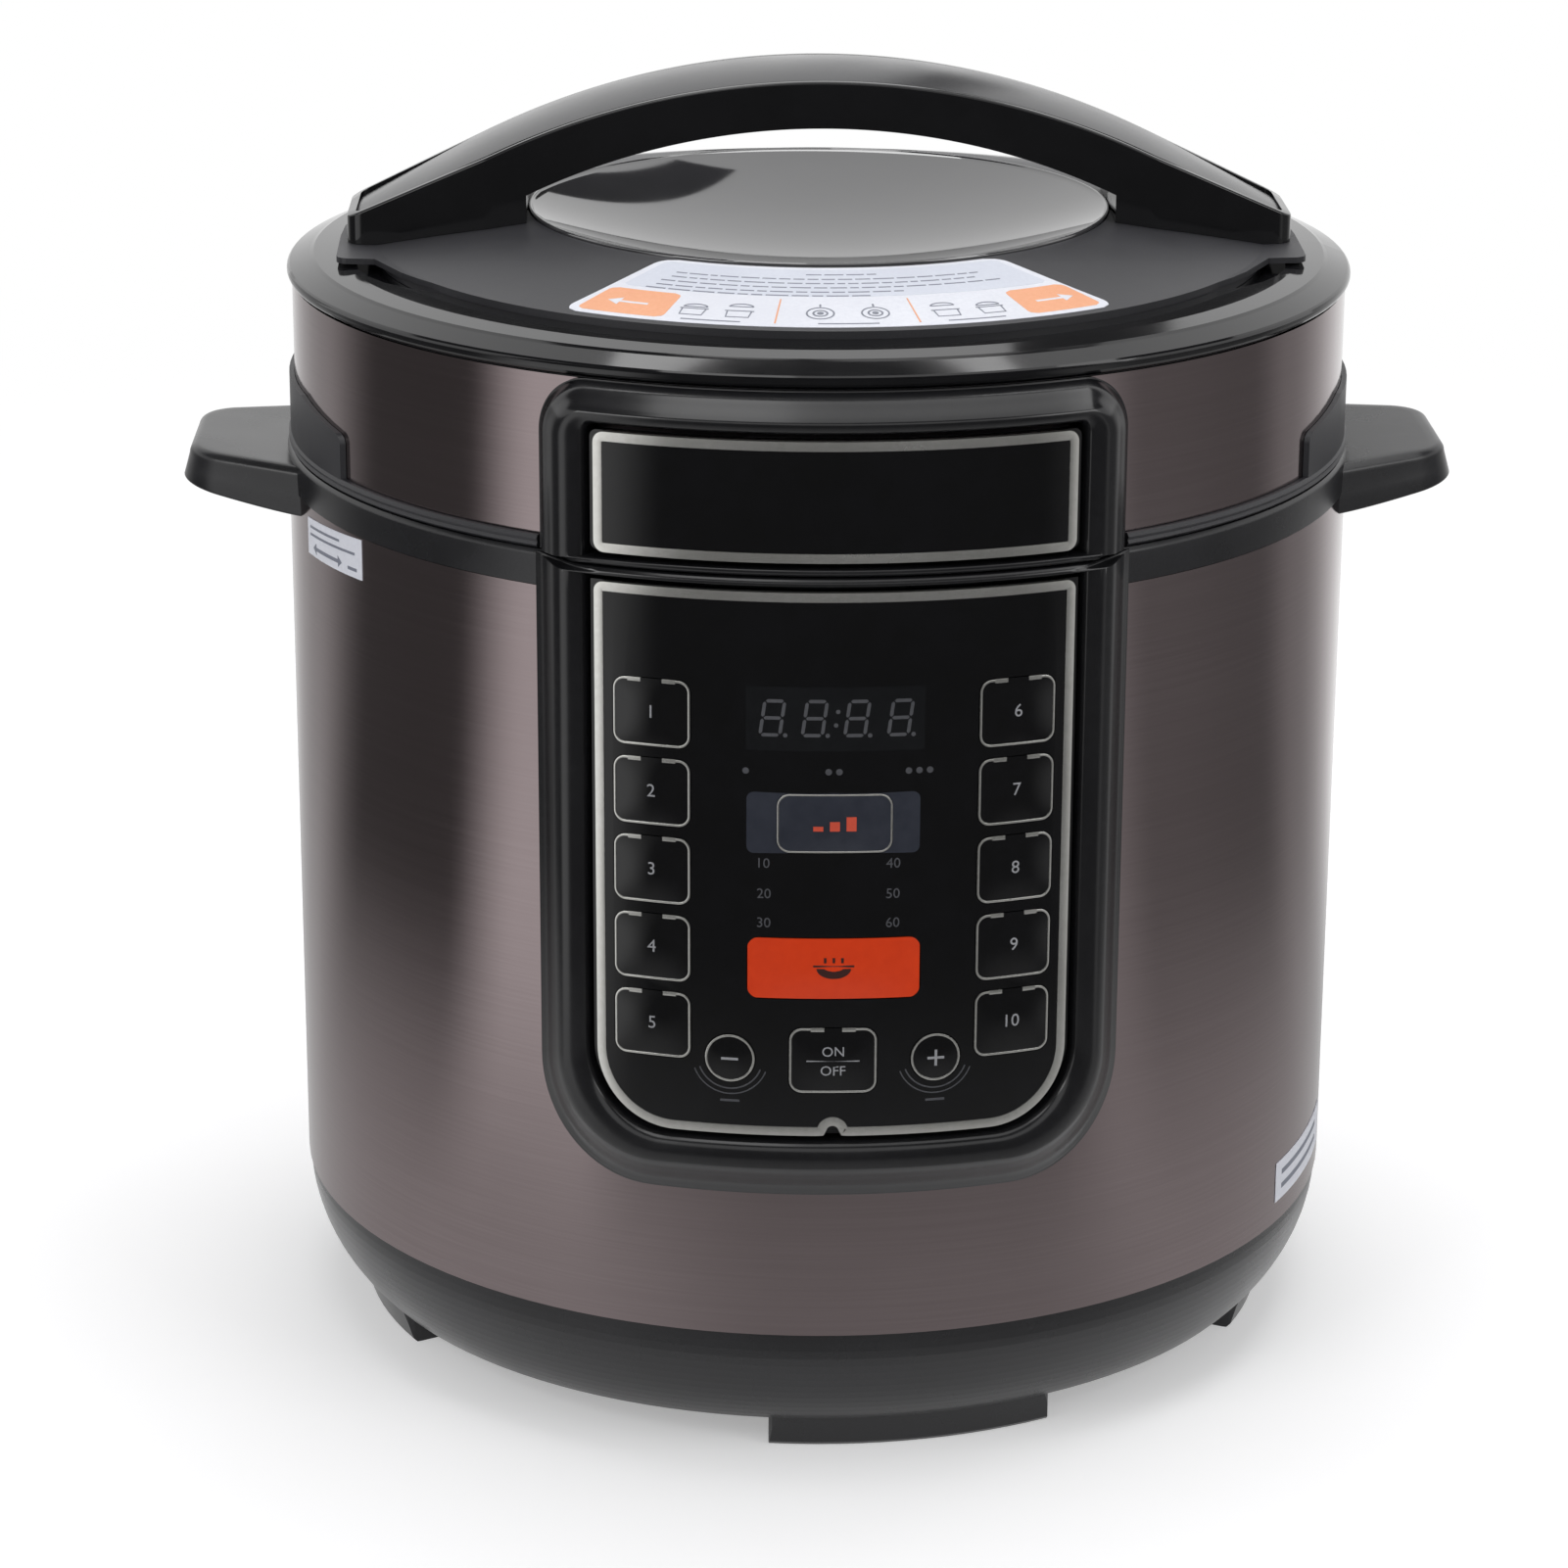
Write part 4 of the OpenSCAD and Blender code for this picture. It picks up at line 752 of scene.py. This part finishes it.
def planHalf(x, inset):
    # half the plan's width: level, then closing in a straight line, then a quarter circle
    x, v = np.abs(x), handle
    cornerAt = v["half"] - v["corner"]
    slope = (v["middleHalf"] - v["endHalf"]) / (cornerAt - v["straight"])
    straight = v["middleHalf"] - slope * np.maximum(x - v["straight"], 0) - inset
    r = v["corner"] - inset
    past = np.clip(x - cornerAt, 0, r)
    rounded = v["endHalf"] - v["corner"] + np.sqrt(np.maximum(r ** 2 - past ** 2, 0))
    return np.where(x < cornerAt, straight, np.minimum(straight, rounded))


def underTheHandle(x, y):
    # what the handle stands on, or the arch over the bowl where that is higher
    r = np.hypot(x, y)
    inBowl = r < plateShape["bowlRadius"]
    ground = np.where(inBowl, bowlShape["top"], plateHeight(r)) + handle["lift"]
    over = handle["underHeight"] + np.sqrt(handle["underRadius"] ** 2 - x ** 2)
    return np.where(np.abs(x) < plateShape["bowlRadius"], np.maximum(ground, over), ground)


def handleStations(inset, extra=()):
    # places along x: even over the arch, closer round the corners of the plan
    cornerAt = handle["half"] - handle["corner"]
    turn = np.linspace(0, math.pi / 2, 9)
    corner = cornerAt + (handle["corner"] - inset) * np.sin(turn)
    half = np.concatenate([np.linspace(0, cornerAt, 90)[:-1], corner, extra])
    half = np.unique(np.round(np.clip(half, 0, handle["half"] - inset), 4))
    return np.concatenate([-half[:0:-1], half])


def acrossTheHandle(x, rows):
    # each row is (y, z) along the handle; together they are its section at each station
    return tube(np.stack([np.stack([x, y, z], -1) for y, z in rows], 1))


def handleRimMesh():
    # at each station a section of the handle: under side, side, rounded edge, rim, groove and back
    v, beside = handle, 0.001
    grooveEnd, bowlAt = v["half"] - v["rimWidth"], plateShape["bowlRadius"]
    x = handleStations(0, (bowlAt - beside, bowlAt, grooveEnd - beside, grooveEnd + beside))
    half = planHalf(x, 0)
    top = archHeightAt(x, v["arch"] - v["drop"], v["rimTurn"])
    inGroove = np.abs(x) < grooveEnd
    floorAt = np.where(inGroove, archHeightAt(x, v["arch"] - v["groove"], v["stripTurn"]), top)
    inner = np.clip(np.where(inGroove, planHalf(x, v["rimWidth"]), half * 0.5), 0, half)
    edge = np.minimum(v["edge"], half * 0.9)
    low = underTheHandle(x, half)
    under = [(half * share, underTheHandle(x, half * share)) for share in np.linspace(-1, 1, 13)]
    side = [(half, low + (top - edge - low) * level) for level in np.linspace(0, 1, 7)[1:]]
    side += [(half - edge + edge * math.cos(turn), top - edge + edge * math.sin(turn))
             for turn in np.linspace(0, math.pi / 2, 5)[1:]]
    lipIn, lipDown = v["lip"]
    side += [(np.minimum(inner + lipIn, half - edge), top), (inner, top - lipDown * inGroove),
             (inner, floorAt)]
    return acrossTheHandle(x, under + side + [(-y, z) for y, z in reversed(side)])


def handleStripMesh():
    # the strip's crown is part of a circle across: z = top - (c - sqrt(c^2 - y^2))
    v = handle
    x = handleStations(v["stripInset"])
    half = planHalf(x, v["stripInset"])
    top = archHeightAt(x, v["arch"], v["stripTurn"])
    low = archHeightAt(x, v["arch"] - v["groove"] + v["stripLift"], v["stripTurn"])
    wide = v["middleHalf"] - v["stripInset"]
    crown = (wide ** 2 + v["drop"] ** 2) / (2 * v["drop"])
    rows = []
    for y in half * np.sin(np.linspace(-math.pi / 2, math.pi / 2, 33))[:, None]:
        crowned = top - crown + np.sqrt(crown ** 2 - y ** 2)
        rows.append((y, np.maximum(crowned, low + v["stripSide"])))
    return acrossTheHandle(x, rows + [(half, low), (-half, low)])


makePiece("handleRim", handleRimMesh(), "glossAbs", "lid", 35, "handle_body")
makePiece("handleStrip", handleStripMesh(), "satinHandleStrip", "lid", 35,
          "handle_cover")
print("handle made")

# Label on the lid plate, in front of the bowl: paper with two orange ends and plain ruled fields.
# Each patch has its angles from the front (from, to) at the inner and at the outer radius, its
# lift, the two radii, rows, columns and corner.
labelPatches = {
    "lidLabel": ("coatedPaper", [((-31.5, 33.1, -35.1, 37.9), 0.14, (77.6, 114.4), 40, 60, 4.2)]),
    "lidLabelField": ("printedPale", [
        ((-30.2, 31.8, -31.9, 34.2), 0.18, (79.2, 96.4), 20, 60, 1.6)]),
    "lidLabelEnds": ("printedOrange", [
        ((-32.7, -21.5, -33.6, -21.5), 0.18, (98.4, 112.6), 20, 30, 2.0),
        ((25.5, 35.5, 25.5, 36.4), 0.18, (98.4, 112.6), 20, 30, 2.0)]),
}
label = {
    "sheet": 0.12, "ink": (0.16, 0.24), "flatRadius": 106.0,
    "dividers": (-7.2, 10.8), "dividerWidth": 0.4, "dividerRadii": (98.4, 112.6),
    "rules": ((82.6, -4, 8), (85.6, -26, 27), (88.3, -26, 24), (91.0, -27, 28), (93.7, -27, 12),
              (96.0, -28, 6)), "rule": 0.62, "ruleParts": (2.2, 6.5), "ruleGap": 0.9,
    "pots": ((-18.3, 0.0), (-12.2, 1.5), (15.0, 1.5), (21.2, 0.0)), "potRadius": 105.6,
    "potLine": 0.42, "potLevel": -0.4,
    "rings": (-1.6, 5.6), "ringRadius": 106.4, "ringSizes": ((3.3, 0.42), (1.7, 0.5), (0.8, 0)),
    "tick": (101.2, 102.6, 0.5), "footRules": (-15.3, 1.9, 18.2), "footRule": (7, 112.4, 0.5),
    "arrows": ((-27.6, -1), (31.0, 1)), "arrowWidth": 0.9}
labelDegree = math.pi / 180 * label["flatRadius"]  # an arc of one degree at the label's middle


def labelPatch(angles, lift, radii, rows, columns, corner):
    # a patch between two radii whose end angles change evenly from the inner to the outer edge;
    # the corner pulls the ends in by a quarter of a circle near both edges
    r = np.linspace(*radii, rows)
    share = (r - radii[0]) / (radii[1] - radii[0])
    edge = np.minimum(r - radii[0], radii[1] - r)
    near = np.maximum(corner - edge, 0)
    pull = np.degrees((corner - np.sqrt(corner ** 2 - near ** 2)) / r)
    start = (between(angles[0], angles[2], share) + pull)[:, None]
    end = (between(angles[1], angles[3], share) - pull)[:, None]
    angle = np.radians(between(start, end, np.linspace(0, 1, columns)))
    r = r[:, None]
    return slab(*[turnedBy(angle, r, plateHeight(r) + lift - under)
                  for under in (0, label["sheet"])])


def onLabel(flat, lift):
    # flat places are (across, radius), with the distance across along the label's middle radius
    across, radius = np.moveaxis(flat, -1, 0)
    return turnedBy(across / label["flatRadius"], radius, plateHeight(radius) + lift)


def printOnLabel(name, strokes, finish):
    # strokes are (path, width) and closed where their ends meet; filled outlines are (outline, 0)
    parts = []
    for path, width in strokes:
        path = np.asarray(path, float)
        if width:
            closed = np.linalg.norm(path[0] - path[-1]) < 0.01
            path = path[:-1] if closed else path
            parts.append(ribbon(path, width, *label["ink"], closed, onLabel))
        else:
            parts.append(filledOnBody(path, *label["ink"], onLabel))
    makePiece(name, joinArrays(parts), finish, "lid")


def levelRule(start, end, radius, width):
    return denser([[start, radius], [end, radius]], 2), width


for pieceName, (finish, patches) in labelPatches.items():
    makePiece(pieceName, joinArrays([labelPatch(*patch) for patch in patches]), finish, "lid")
# rules that stand for lines of print: strokes with small gaps of uneven length
random = np.random.default_rng(7)
dark = []
for radius, start, end in label["rules"]:
    at, last = start * labelDegree, end * labelDegree
    while at < last - 2:
        length = min(random.uniform(*label["ruleParts"]), last - at)
        dark.append(levelRule(at, at + length, radius, label["rule"]))
        at += length + label["ruleGap"]
turn = np.linspace(0, 2 * math.pi, 29)
for middle, lift in label["pots"]:
    # a pot with its lid: body, rim, lid's curve and its lower edge, drawn with plain strokes
    level = label["potLevel"] - lift
    lines = ([[-3.0, 0.6], [-2.7, 4.2], [2.7, 4.2], [3.0, 0.6]], [[-3.6, 0.6], [3.6, 0.6]],
             arc(turn[:15], [3.0, -1.6], [0, level]), [[-3.0, level], [3.0, level]])
    at = [middle * labelDegree, label["potRadius"]]
    dark += [(np.array(line) + at, label["potLine"]) for line in lines]
for middle in label["rings"]:
    across, (tickFrom, tickTo, tickWidth) = middle * labelDegree, label["tick"]
    dark += [(arc(turn, size, [across, label["ringRadius"]]), width)
             for size, width in label["ringSizes"]]
    dark.append(([[across, tickFrom], [across, tickTo]], tickWidth))
for middle in label["footRules"]:
    across, (reach, radius, width) = middle * labelDegree, label["footRule"]
    dark.append(levelRule(across - reach, across + reach, radius, width))
printOnLabel("lidLabelPrint", dark, "printedGrey")
printOnLabel("lidLabelDividers", [
    (denser([[middle * labelDegree, radius] for radius in label["dividerRadii"]], 2),
     label["dividerWidth"]) for middle in label["dividers"]], "printedOrange")
arrows = []
for middle, way in label["arrows"]:
    at = np.array([middle * labelDegree, label["flatRadius"]])
    arrows += [(denser(np.array([[-5, 0], [3, 0]]) * [way, 1] + at, 2), label["arrowWidth"]),
               (np.array([[2.6, -2], [6, 0], [2.6, 2]]) * [way, 1] + at, 0)]
printOnLabel("lidLabelArrows", arrows, "coatedPaper")

# Paper stickers on the shell: one in a leaning outline with a double arrow, and a small plain one.
# Corners and strokes are (angle from the front, height), with a stroke's width last.
stickers = {
    "leftSticker": {"corners": ((-71, 216.8), (-56.5, 218.1), (-56.5, 228.7), (-71, 226.4)),
                    "strokes": (((-70.0, 224.4), (-61.5, 225.7), 0.7),
                                ((-70.0, 222.4), (-58.0, 224.2), 0.7),
                                ((-59.6, 219.9), (-57.6, 220.1), 0.9)),
                    "arrow": ((-69.0, 219.3), (-61.0, 220.2))},
    "rightSticker": {"corners": ((59.4, 44.0), (78, 44.6), (78, 56.6), (59.4, 55.2)),
                     "strokes": (((61, 51.6), (75, 52.8), 1.5), ((61, 47.6), (75, 48.6), 1.5)),
                     "arrow": None},
}
arrowShape = (2.4, 1.5, 1.0)  # a head's length, half its width, and the line's width
stickerDepth = {"shell": 140.0, "paper": (0.16, 0.02), "ink": (0.12, 0.22)}
low, high = (stickerDepth["shell"] + depth for depth in stickerDepth["ink"])
for stickerName, values in stickers.items():
    c = np.array(values["corners"]) * [degree, 1]
    u, v = np.linspace(0, 1, 16)[:, None, None], np.linspace(0, 1, 6)[:, None]
    flat = between(between(c[0], c[1], u), between(c[3], c[2], u), v)
    paper = slab(*[roundTheBody(flat, stickerDepth["shell"] + depth)
                   for depth in stickerDepth["paper"]])
    makePiece(stickerName, paper, "coatedPaper", "base")
    parts = [ribbon(denser(np.array([start, end]) * [degree, 1], 2), width, low, high)
             for start, end, width in values["strokes"]]
    if values["arrow"]:
        start, end = np.array(values["arrow"]) * [degree, 1]
        along = (end - start) / np.linalg.norm(end - start)
        length, spread, width = arrowShape
        side = np.array([-along[1], along[0]]) * spread
        parts.append(ribbon(denser([start + along, end - along], 2), width, low, high))
        for tip, way in ((start, length), (end, -length)):
            parts.append(filledOnBody([tip, tip + along * way + side, tip + along * way - side],
                                      low, high))
    makePiece(stickerName + "Print", joinArrays(parts), "printedGrey", "base")
print("label made")

# The camera, lens and aim.
camera = {"at": (-41.36, -1239.19, 550.32), "aim": (-8.41, 0.27, 138.0), "roll": 0.0045533,
          "lens": 109.93, "sensor": 36.0, "nearest": 50}
cameraData = bpy.data.cameras.new("camera")
cameraData.lens = camera["lens"]
cameraData.sensor_width = camera["sensor"]
cameraData.clip_start = camera["nearest"] * mm
cameraObject = addObject("camera", cameraData)
cameraObject.location = Vector(camera["at"]) * mm
facing = (Vector(camera["aim"]) - Vector(camera["at"])).to_track_quat("-Z", "Y")
cameraObject.rotation_euler = (facing @ Quaternion((0, 0, 1), camera["roll"])).to_euler()
bpy.context.scene.camera = cameraObject

# Studio: a white floor and world, soft lamps, and cards that only reflections see. Its lengths are
# in metres.
studio = {"floor": 6.0, "worldFill": 0.45, "whiteFrom": 0.35, "whiteTo": 1.3, "nearGlow": 0.34,
          "paint": (0.82, 0.82, 0.83, 1), "lampAim": 0.15}
white = (1, 1, 1, 1)


def seenDirectly(tree):
    # 1 for what the camera, a mirror or a glass sees, 0 for the light that falls on things
    rays = addNode(tree, "ShaderNodeLightPath").outputs
    seen = addNode(tree, "ShaderNodeMath", {"operation": "MAXIMUM"},
                   {0: rays["Is Camera Ray"], 1: rays["Is Glossy Ray"]})
    return addNode(tree, "ShaderNodeMath", {"operation": "MAXIMUM"},
                   {0: seen, 1: rays["Is Transmission Ray"]})


def groundPlace(tree):
    # the distance from the object's axis and the angle from the front, as 0 to 1 for -180 to 180
    where = addNode(tree, "ShaderNodeTexCoord")
    place = addNode(tree, "ShaderNodeSeparateXYZ",
                    links={"Vector": where.outputs["Object"]}).outputs
    flat = addNode(tree, "ShaderNodeCombineXYZ", links={"X": place["X"], "Y": place["Y"]})
    distance = addNode(tree, "ShaderNodeVectorMath", {"operation": "LENGTH"}, {0: flat})
    backwards = addNode(tree, "ShaderNodeMath", {"operation": "MULTIPLY", 1: -1.0}, {0: place["Y"]})
    angle = addNode(tree, "ShaderNodeMath", {"operation": "ARCTAN2"}, {0: place["X"], 1: backwards})
    return distance.outputs["Value"], addNode(
        tree, "ShaderNodeMapRange", {"From Min": -math.pi, "From Max": math.pi}, {"Value": angle})


def glowMaterial(name, tone):
    made, tree = newMaterial(name)
    glow = addNode(tree, "ShaderNodeEmission", {"Color": white, "Strength": tone})
    addNode(tree, "ShaderNodeOutputMaterial", links={"Surface": glow})
    return made


def addSheet(name, corners, faces, material, onlyReflected=True):
    # part of the studio; a card is a sheet that only reflections see
    mesh = bpy.data.meshes.new(name)
    mesh.from_pydata(corners, [], faces)
    mesh.materials.append(material)
    sheet = addObject(name, mesh)
    if onlyReflected:
        sheet.visible_camera = sheet.visible_diffuse = False
        sheet.visible_shadow = sheet.visible_transmission = False


world = bpy.data.worlds.new("studio")
bpy.context.scene.world = world
world.use_nodes = True
tree = world.node_tree
tree.nodes.clear()
level = addNode(tree, "ShaderNodeMapRange", {"To Min": studio["worldFill"], "To Max": 1.0},
                {"Value": seenDirectly(tree)})
light = addNode(tree, "ShaderNodeBackground", {"Color": white}, {"Strength": level})
addNode(tree, "ShaderNodeOutputWorld", links={"Surface": light})

# the floor is paint that takes the shadow near the object, and turns to plain white further off
floorMaterial, tree = newMaterial("paintedFloor")
distance, share = groundPlace(tree)
seen = seenDirectly(tree)
away = addNode(tree, "ShaderNodeMapRange",
               {"interpolation_type": "SMOOTHSTEP", "From Min": studio["whiteFrom"],
                "From Max": studio["whiteTo"]}, {"Value": distance})
seenAway = addNode(tree, "ShaderNodeMath", {"operation": "MULTIPLY"}, {0: seen, 1: away})
paint = addNode(tree, "ShaderNodeBsdfDiffuse", {"Color": studio["paint"]})
glowLevel = addNode(tree, "ShaderNodeMath", {"operation": "MULTIPLY", 1: studio["nearGlow"]},
                    {0: seen})
glow = addNode(tree, "ShaderNodeEmission", {"Color": white}, {"Strength": glowLevel})
near = addNode(tree, "ShaderNodeAddShader", links={0: paint, 1: glow})
far = addNode(tree, "ShaderNodeEmission", {"Color": white, "Strength": 1.0})
surface = addNode(tree, "ShaderNodeMixShader", links={0: seenAway, 1: near, 2: far})
addNode(tree, "ShaderNodeOutputMaterial", links={"Surface": surface})
half = studio["floor"] / 2
addSheet("floor", [(-half, -half, 0), (half, -half, 0), (half, half, 0), (-half, half, 0)],
         [(0, 1, 2, 3)], floorMaterial, False)

# Floor card: the room as glossy things see it. Near the object the floor is grey. Further off a
# bright panel stands left of the front, with dark flags at the left, in front and at the right.
# The wall at its edge is open behind. Tones are (angle from the front, brightness).
floorCard = {
    "rings": (0.17, 0.5, 1.2, 2.9), "wall": 0.7, "wallTurn": 156, "height": 0.0015,
    "blend": (0.2, 0.55),
    "near": ((-180, 0.55), (-40, 0.6), (-5, 0.4), (30, 0.4), (60, 0.55), (180, 0.55)),
    "far": ((-180, 1.0), (-130, 0.5), (-105, 0.1), (-78, 0.1), (-60, 1.1), (-45, 1.1), (-30, 0.1),
            (40, 0.1), (54, 0.5), (68, 0.25), (100, 0.2), (115, 0.4), (150, 1.0), (180, 1.0))}
cardMaterial, tree = newMaterial("floorCard")
distance, share = groundPlace(tree)
ramps = []
for tones in (floorCard["near"], floorCard["far"]):
    node = addNode(tree, "ShaderNodeValToRGB", links={"Fac": share})
    ramp = node.color_ramp
    ramp.interpolation = "EASE"
    ramp.elements.remove(ramp.elements[1])  # a new ramp has two
    for number, (angle, tone) in enumerate(tones):
        position = (angle + 180) / 360
        element = ramp.elements.new(position) if number else ramp.elements[0]
        element.position = position
        element.color = (tone, tone, tone, 1)
    ramps.append(node)
away = addNode(tree, "ShaderNodeMapRange",
               {"interpolation_type": "SMOOTHSTEP", "From Min": floorCard["blend"][0],
                "From Max": floorCard["blend"][1]}, {"Value": distance})
blend = addNode(tree, "ShaderNodeMix", {"data_type": "RGBA"}, {0: away, 6: ramps[0], 7: ramps[1]})
glow = addNode(tree, "ShaderNodeEmission", {"Strength": 1.0}, {"Color": blend.outputs[2]})
addNode(tree, "ShaderNodeOutputMaterial", links={"Surface": glow})
outermost = floorCard["rings"][-1]
for name, rings, heights, degrees in (
        ("floorCard", floorCard["rings"], (0, 0, 0, 0), 180),
        ("wallCard", (outermost, outermost), (0, floorCard["wall"]), floorCard["wallTurn"])):
    turn = np.radians(np.arange(-degrees, degrees + 1, 3))
    rings, heights = np.array(rings)[:, None], np.array(heights)[:, None] + floorCard["height"]
    points = turnedBy(turn, rings, heights)
    addSheet(name, points.reshape(-1, 3).tolist(), gridFaces(len(rings), len(turn)), cardMaterial)

# Ceiling, each card with its tone, height and outlines: a dark one over the object and in front of
# it, just below that a pale one, and a brighter one at each end of the pale one.
flatCards = {
    "darkCard": (0.05, 1.2, (((-1.6, -1.6), (1.6, -1.6), (1.6, 0.5), (-1.6, 0.5)),)),
    "middleCard": (1.2, 1.19, (((-0.022, 0.245), (0.354, 0.374), (0.575, -0.206), (0.986, -0.779),
                                (-0.124, -1.036), (-0.065, -0.376)),)),
    "endCards": (2.4, 1.18, (((-0.21, 0.31), (-0.022, 0.245), (-0.065, -0.376), (-0.124, -1.036),
                              (-0.68, -0.9), (-0.385, -0.288)),
                             ((0.354, 0.374), (0.455, 0.473), (0.749, -0.075), (1.297, -0.576),
                              (0.986, -0.779), (0.575, -0.206)))),
}
for name, (tone, height, outlines) in flatCards.items():
    shape = joinArrays([([(x, y, height) for x, y in outline], [range(len(outline))])
                        for outline in outlines])
    addSheet(name, shape[0].tolist(), shape[1], glowMaterial(name, tone))
# a dark card upright behind the object: the lid's bright dish mirrors its edge
addSheet("uprightCard", [(0.27, 2.0, 0.73), (0.42, 2.0, 0.73), (0.42, 2.0, 2.2), (0.27, 2.0, 2.2)],
         [(0, 1, 2, 3)], glowMaterial("uprightCard", 0.05))

lamps = {
    "overhead": {"at": (0.1, 0.25, 1.7), "size": 1.3, "watts": 15.0},
    "leftFront": {"at": (-1.3, -1.2, 1.2), "size": 0.9, "watts": 8.0},
    "rightFront": {"at": (1.4, -1.0, 1.1), "size": 0.9, "watts": 6.0},
}
for lampName, values in lamps.items():
    lampData = bpy.data.lights.new(lampName, "AREA")
    lampData.size = values["size"]
    lampData.energy = values["watts"]
    lamp = addObject(lampName, lampData)
    lamp.location = values["at"]
    direction = Vector((0, 0, studio["lampAim"])) - lamp.location
    lamp.rotation_euler = direction.to_track_quat("-Z", "Y").to_euler()
bpy.context.scene.view_settings.view_transform = "Standard"
print("studio made")
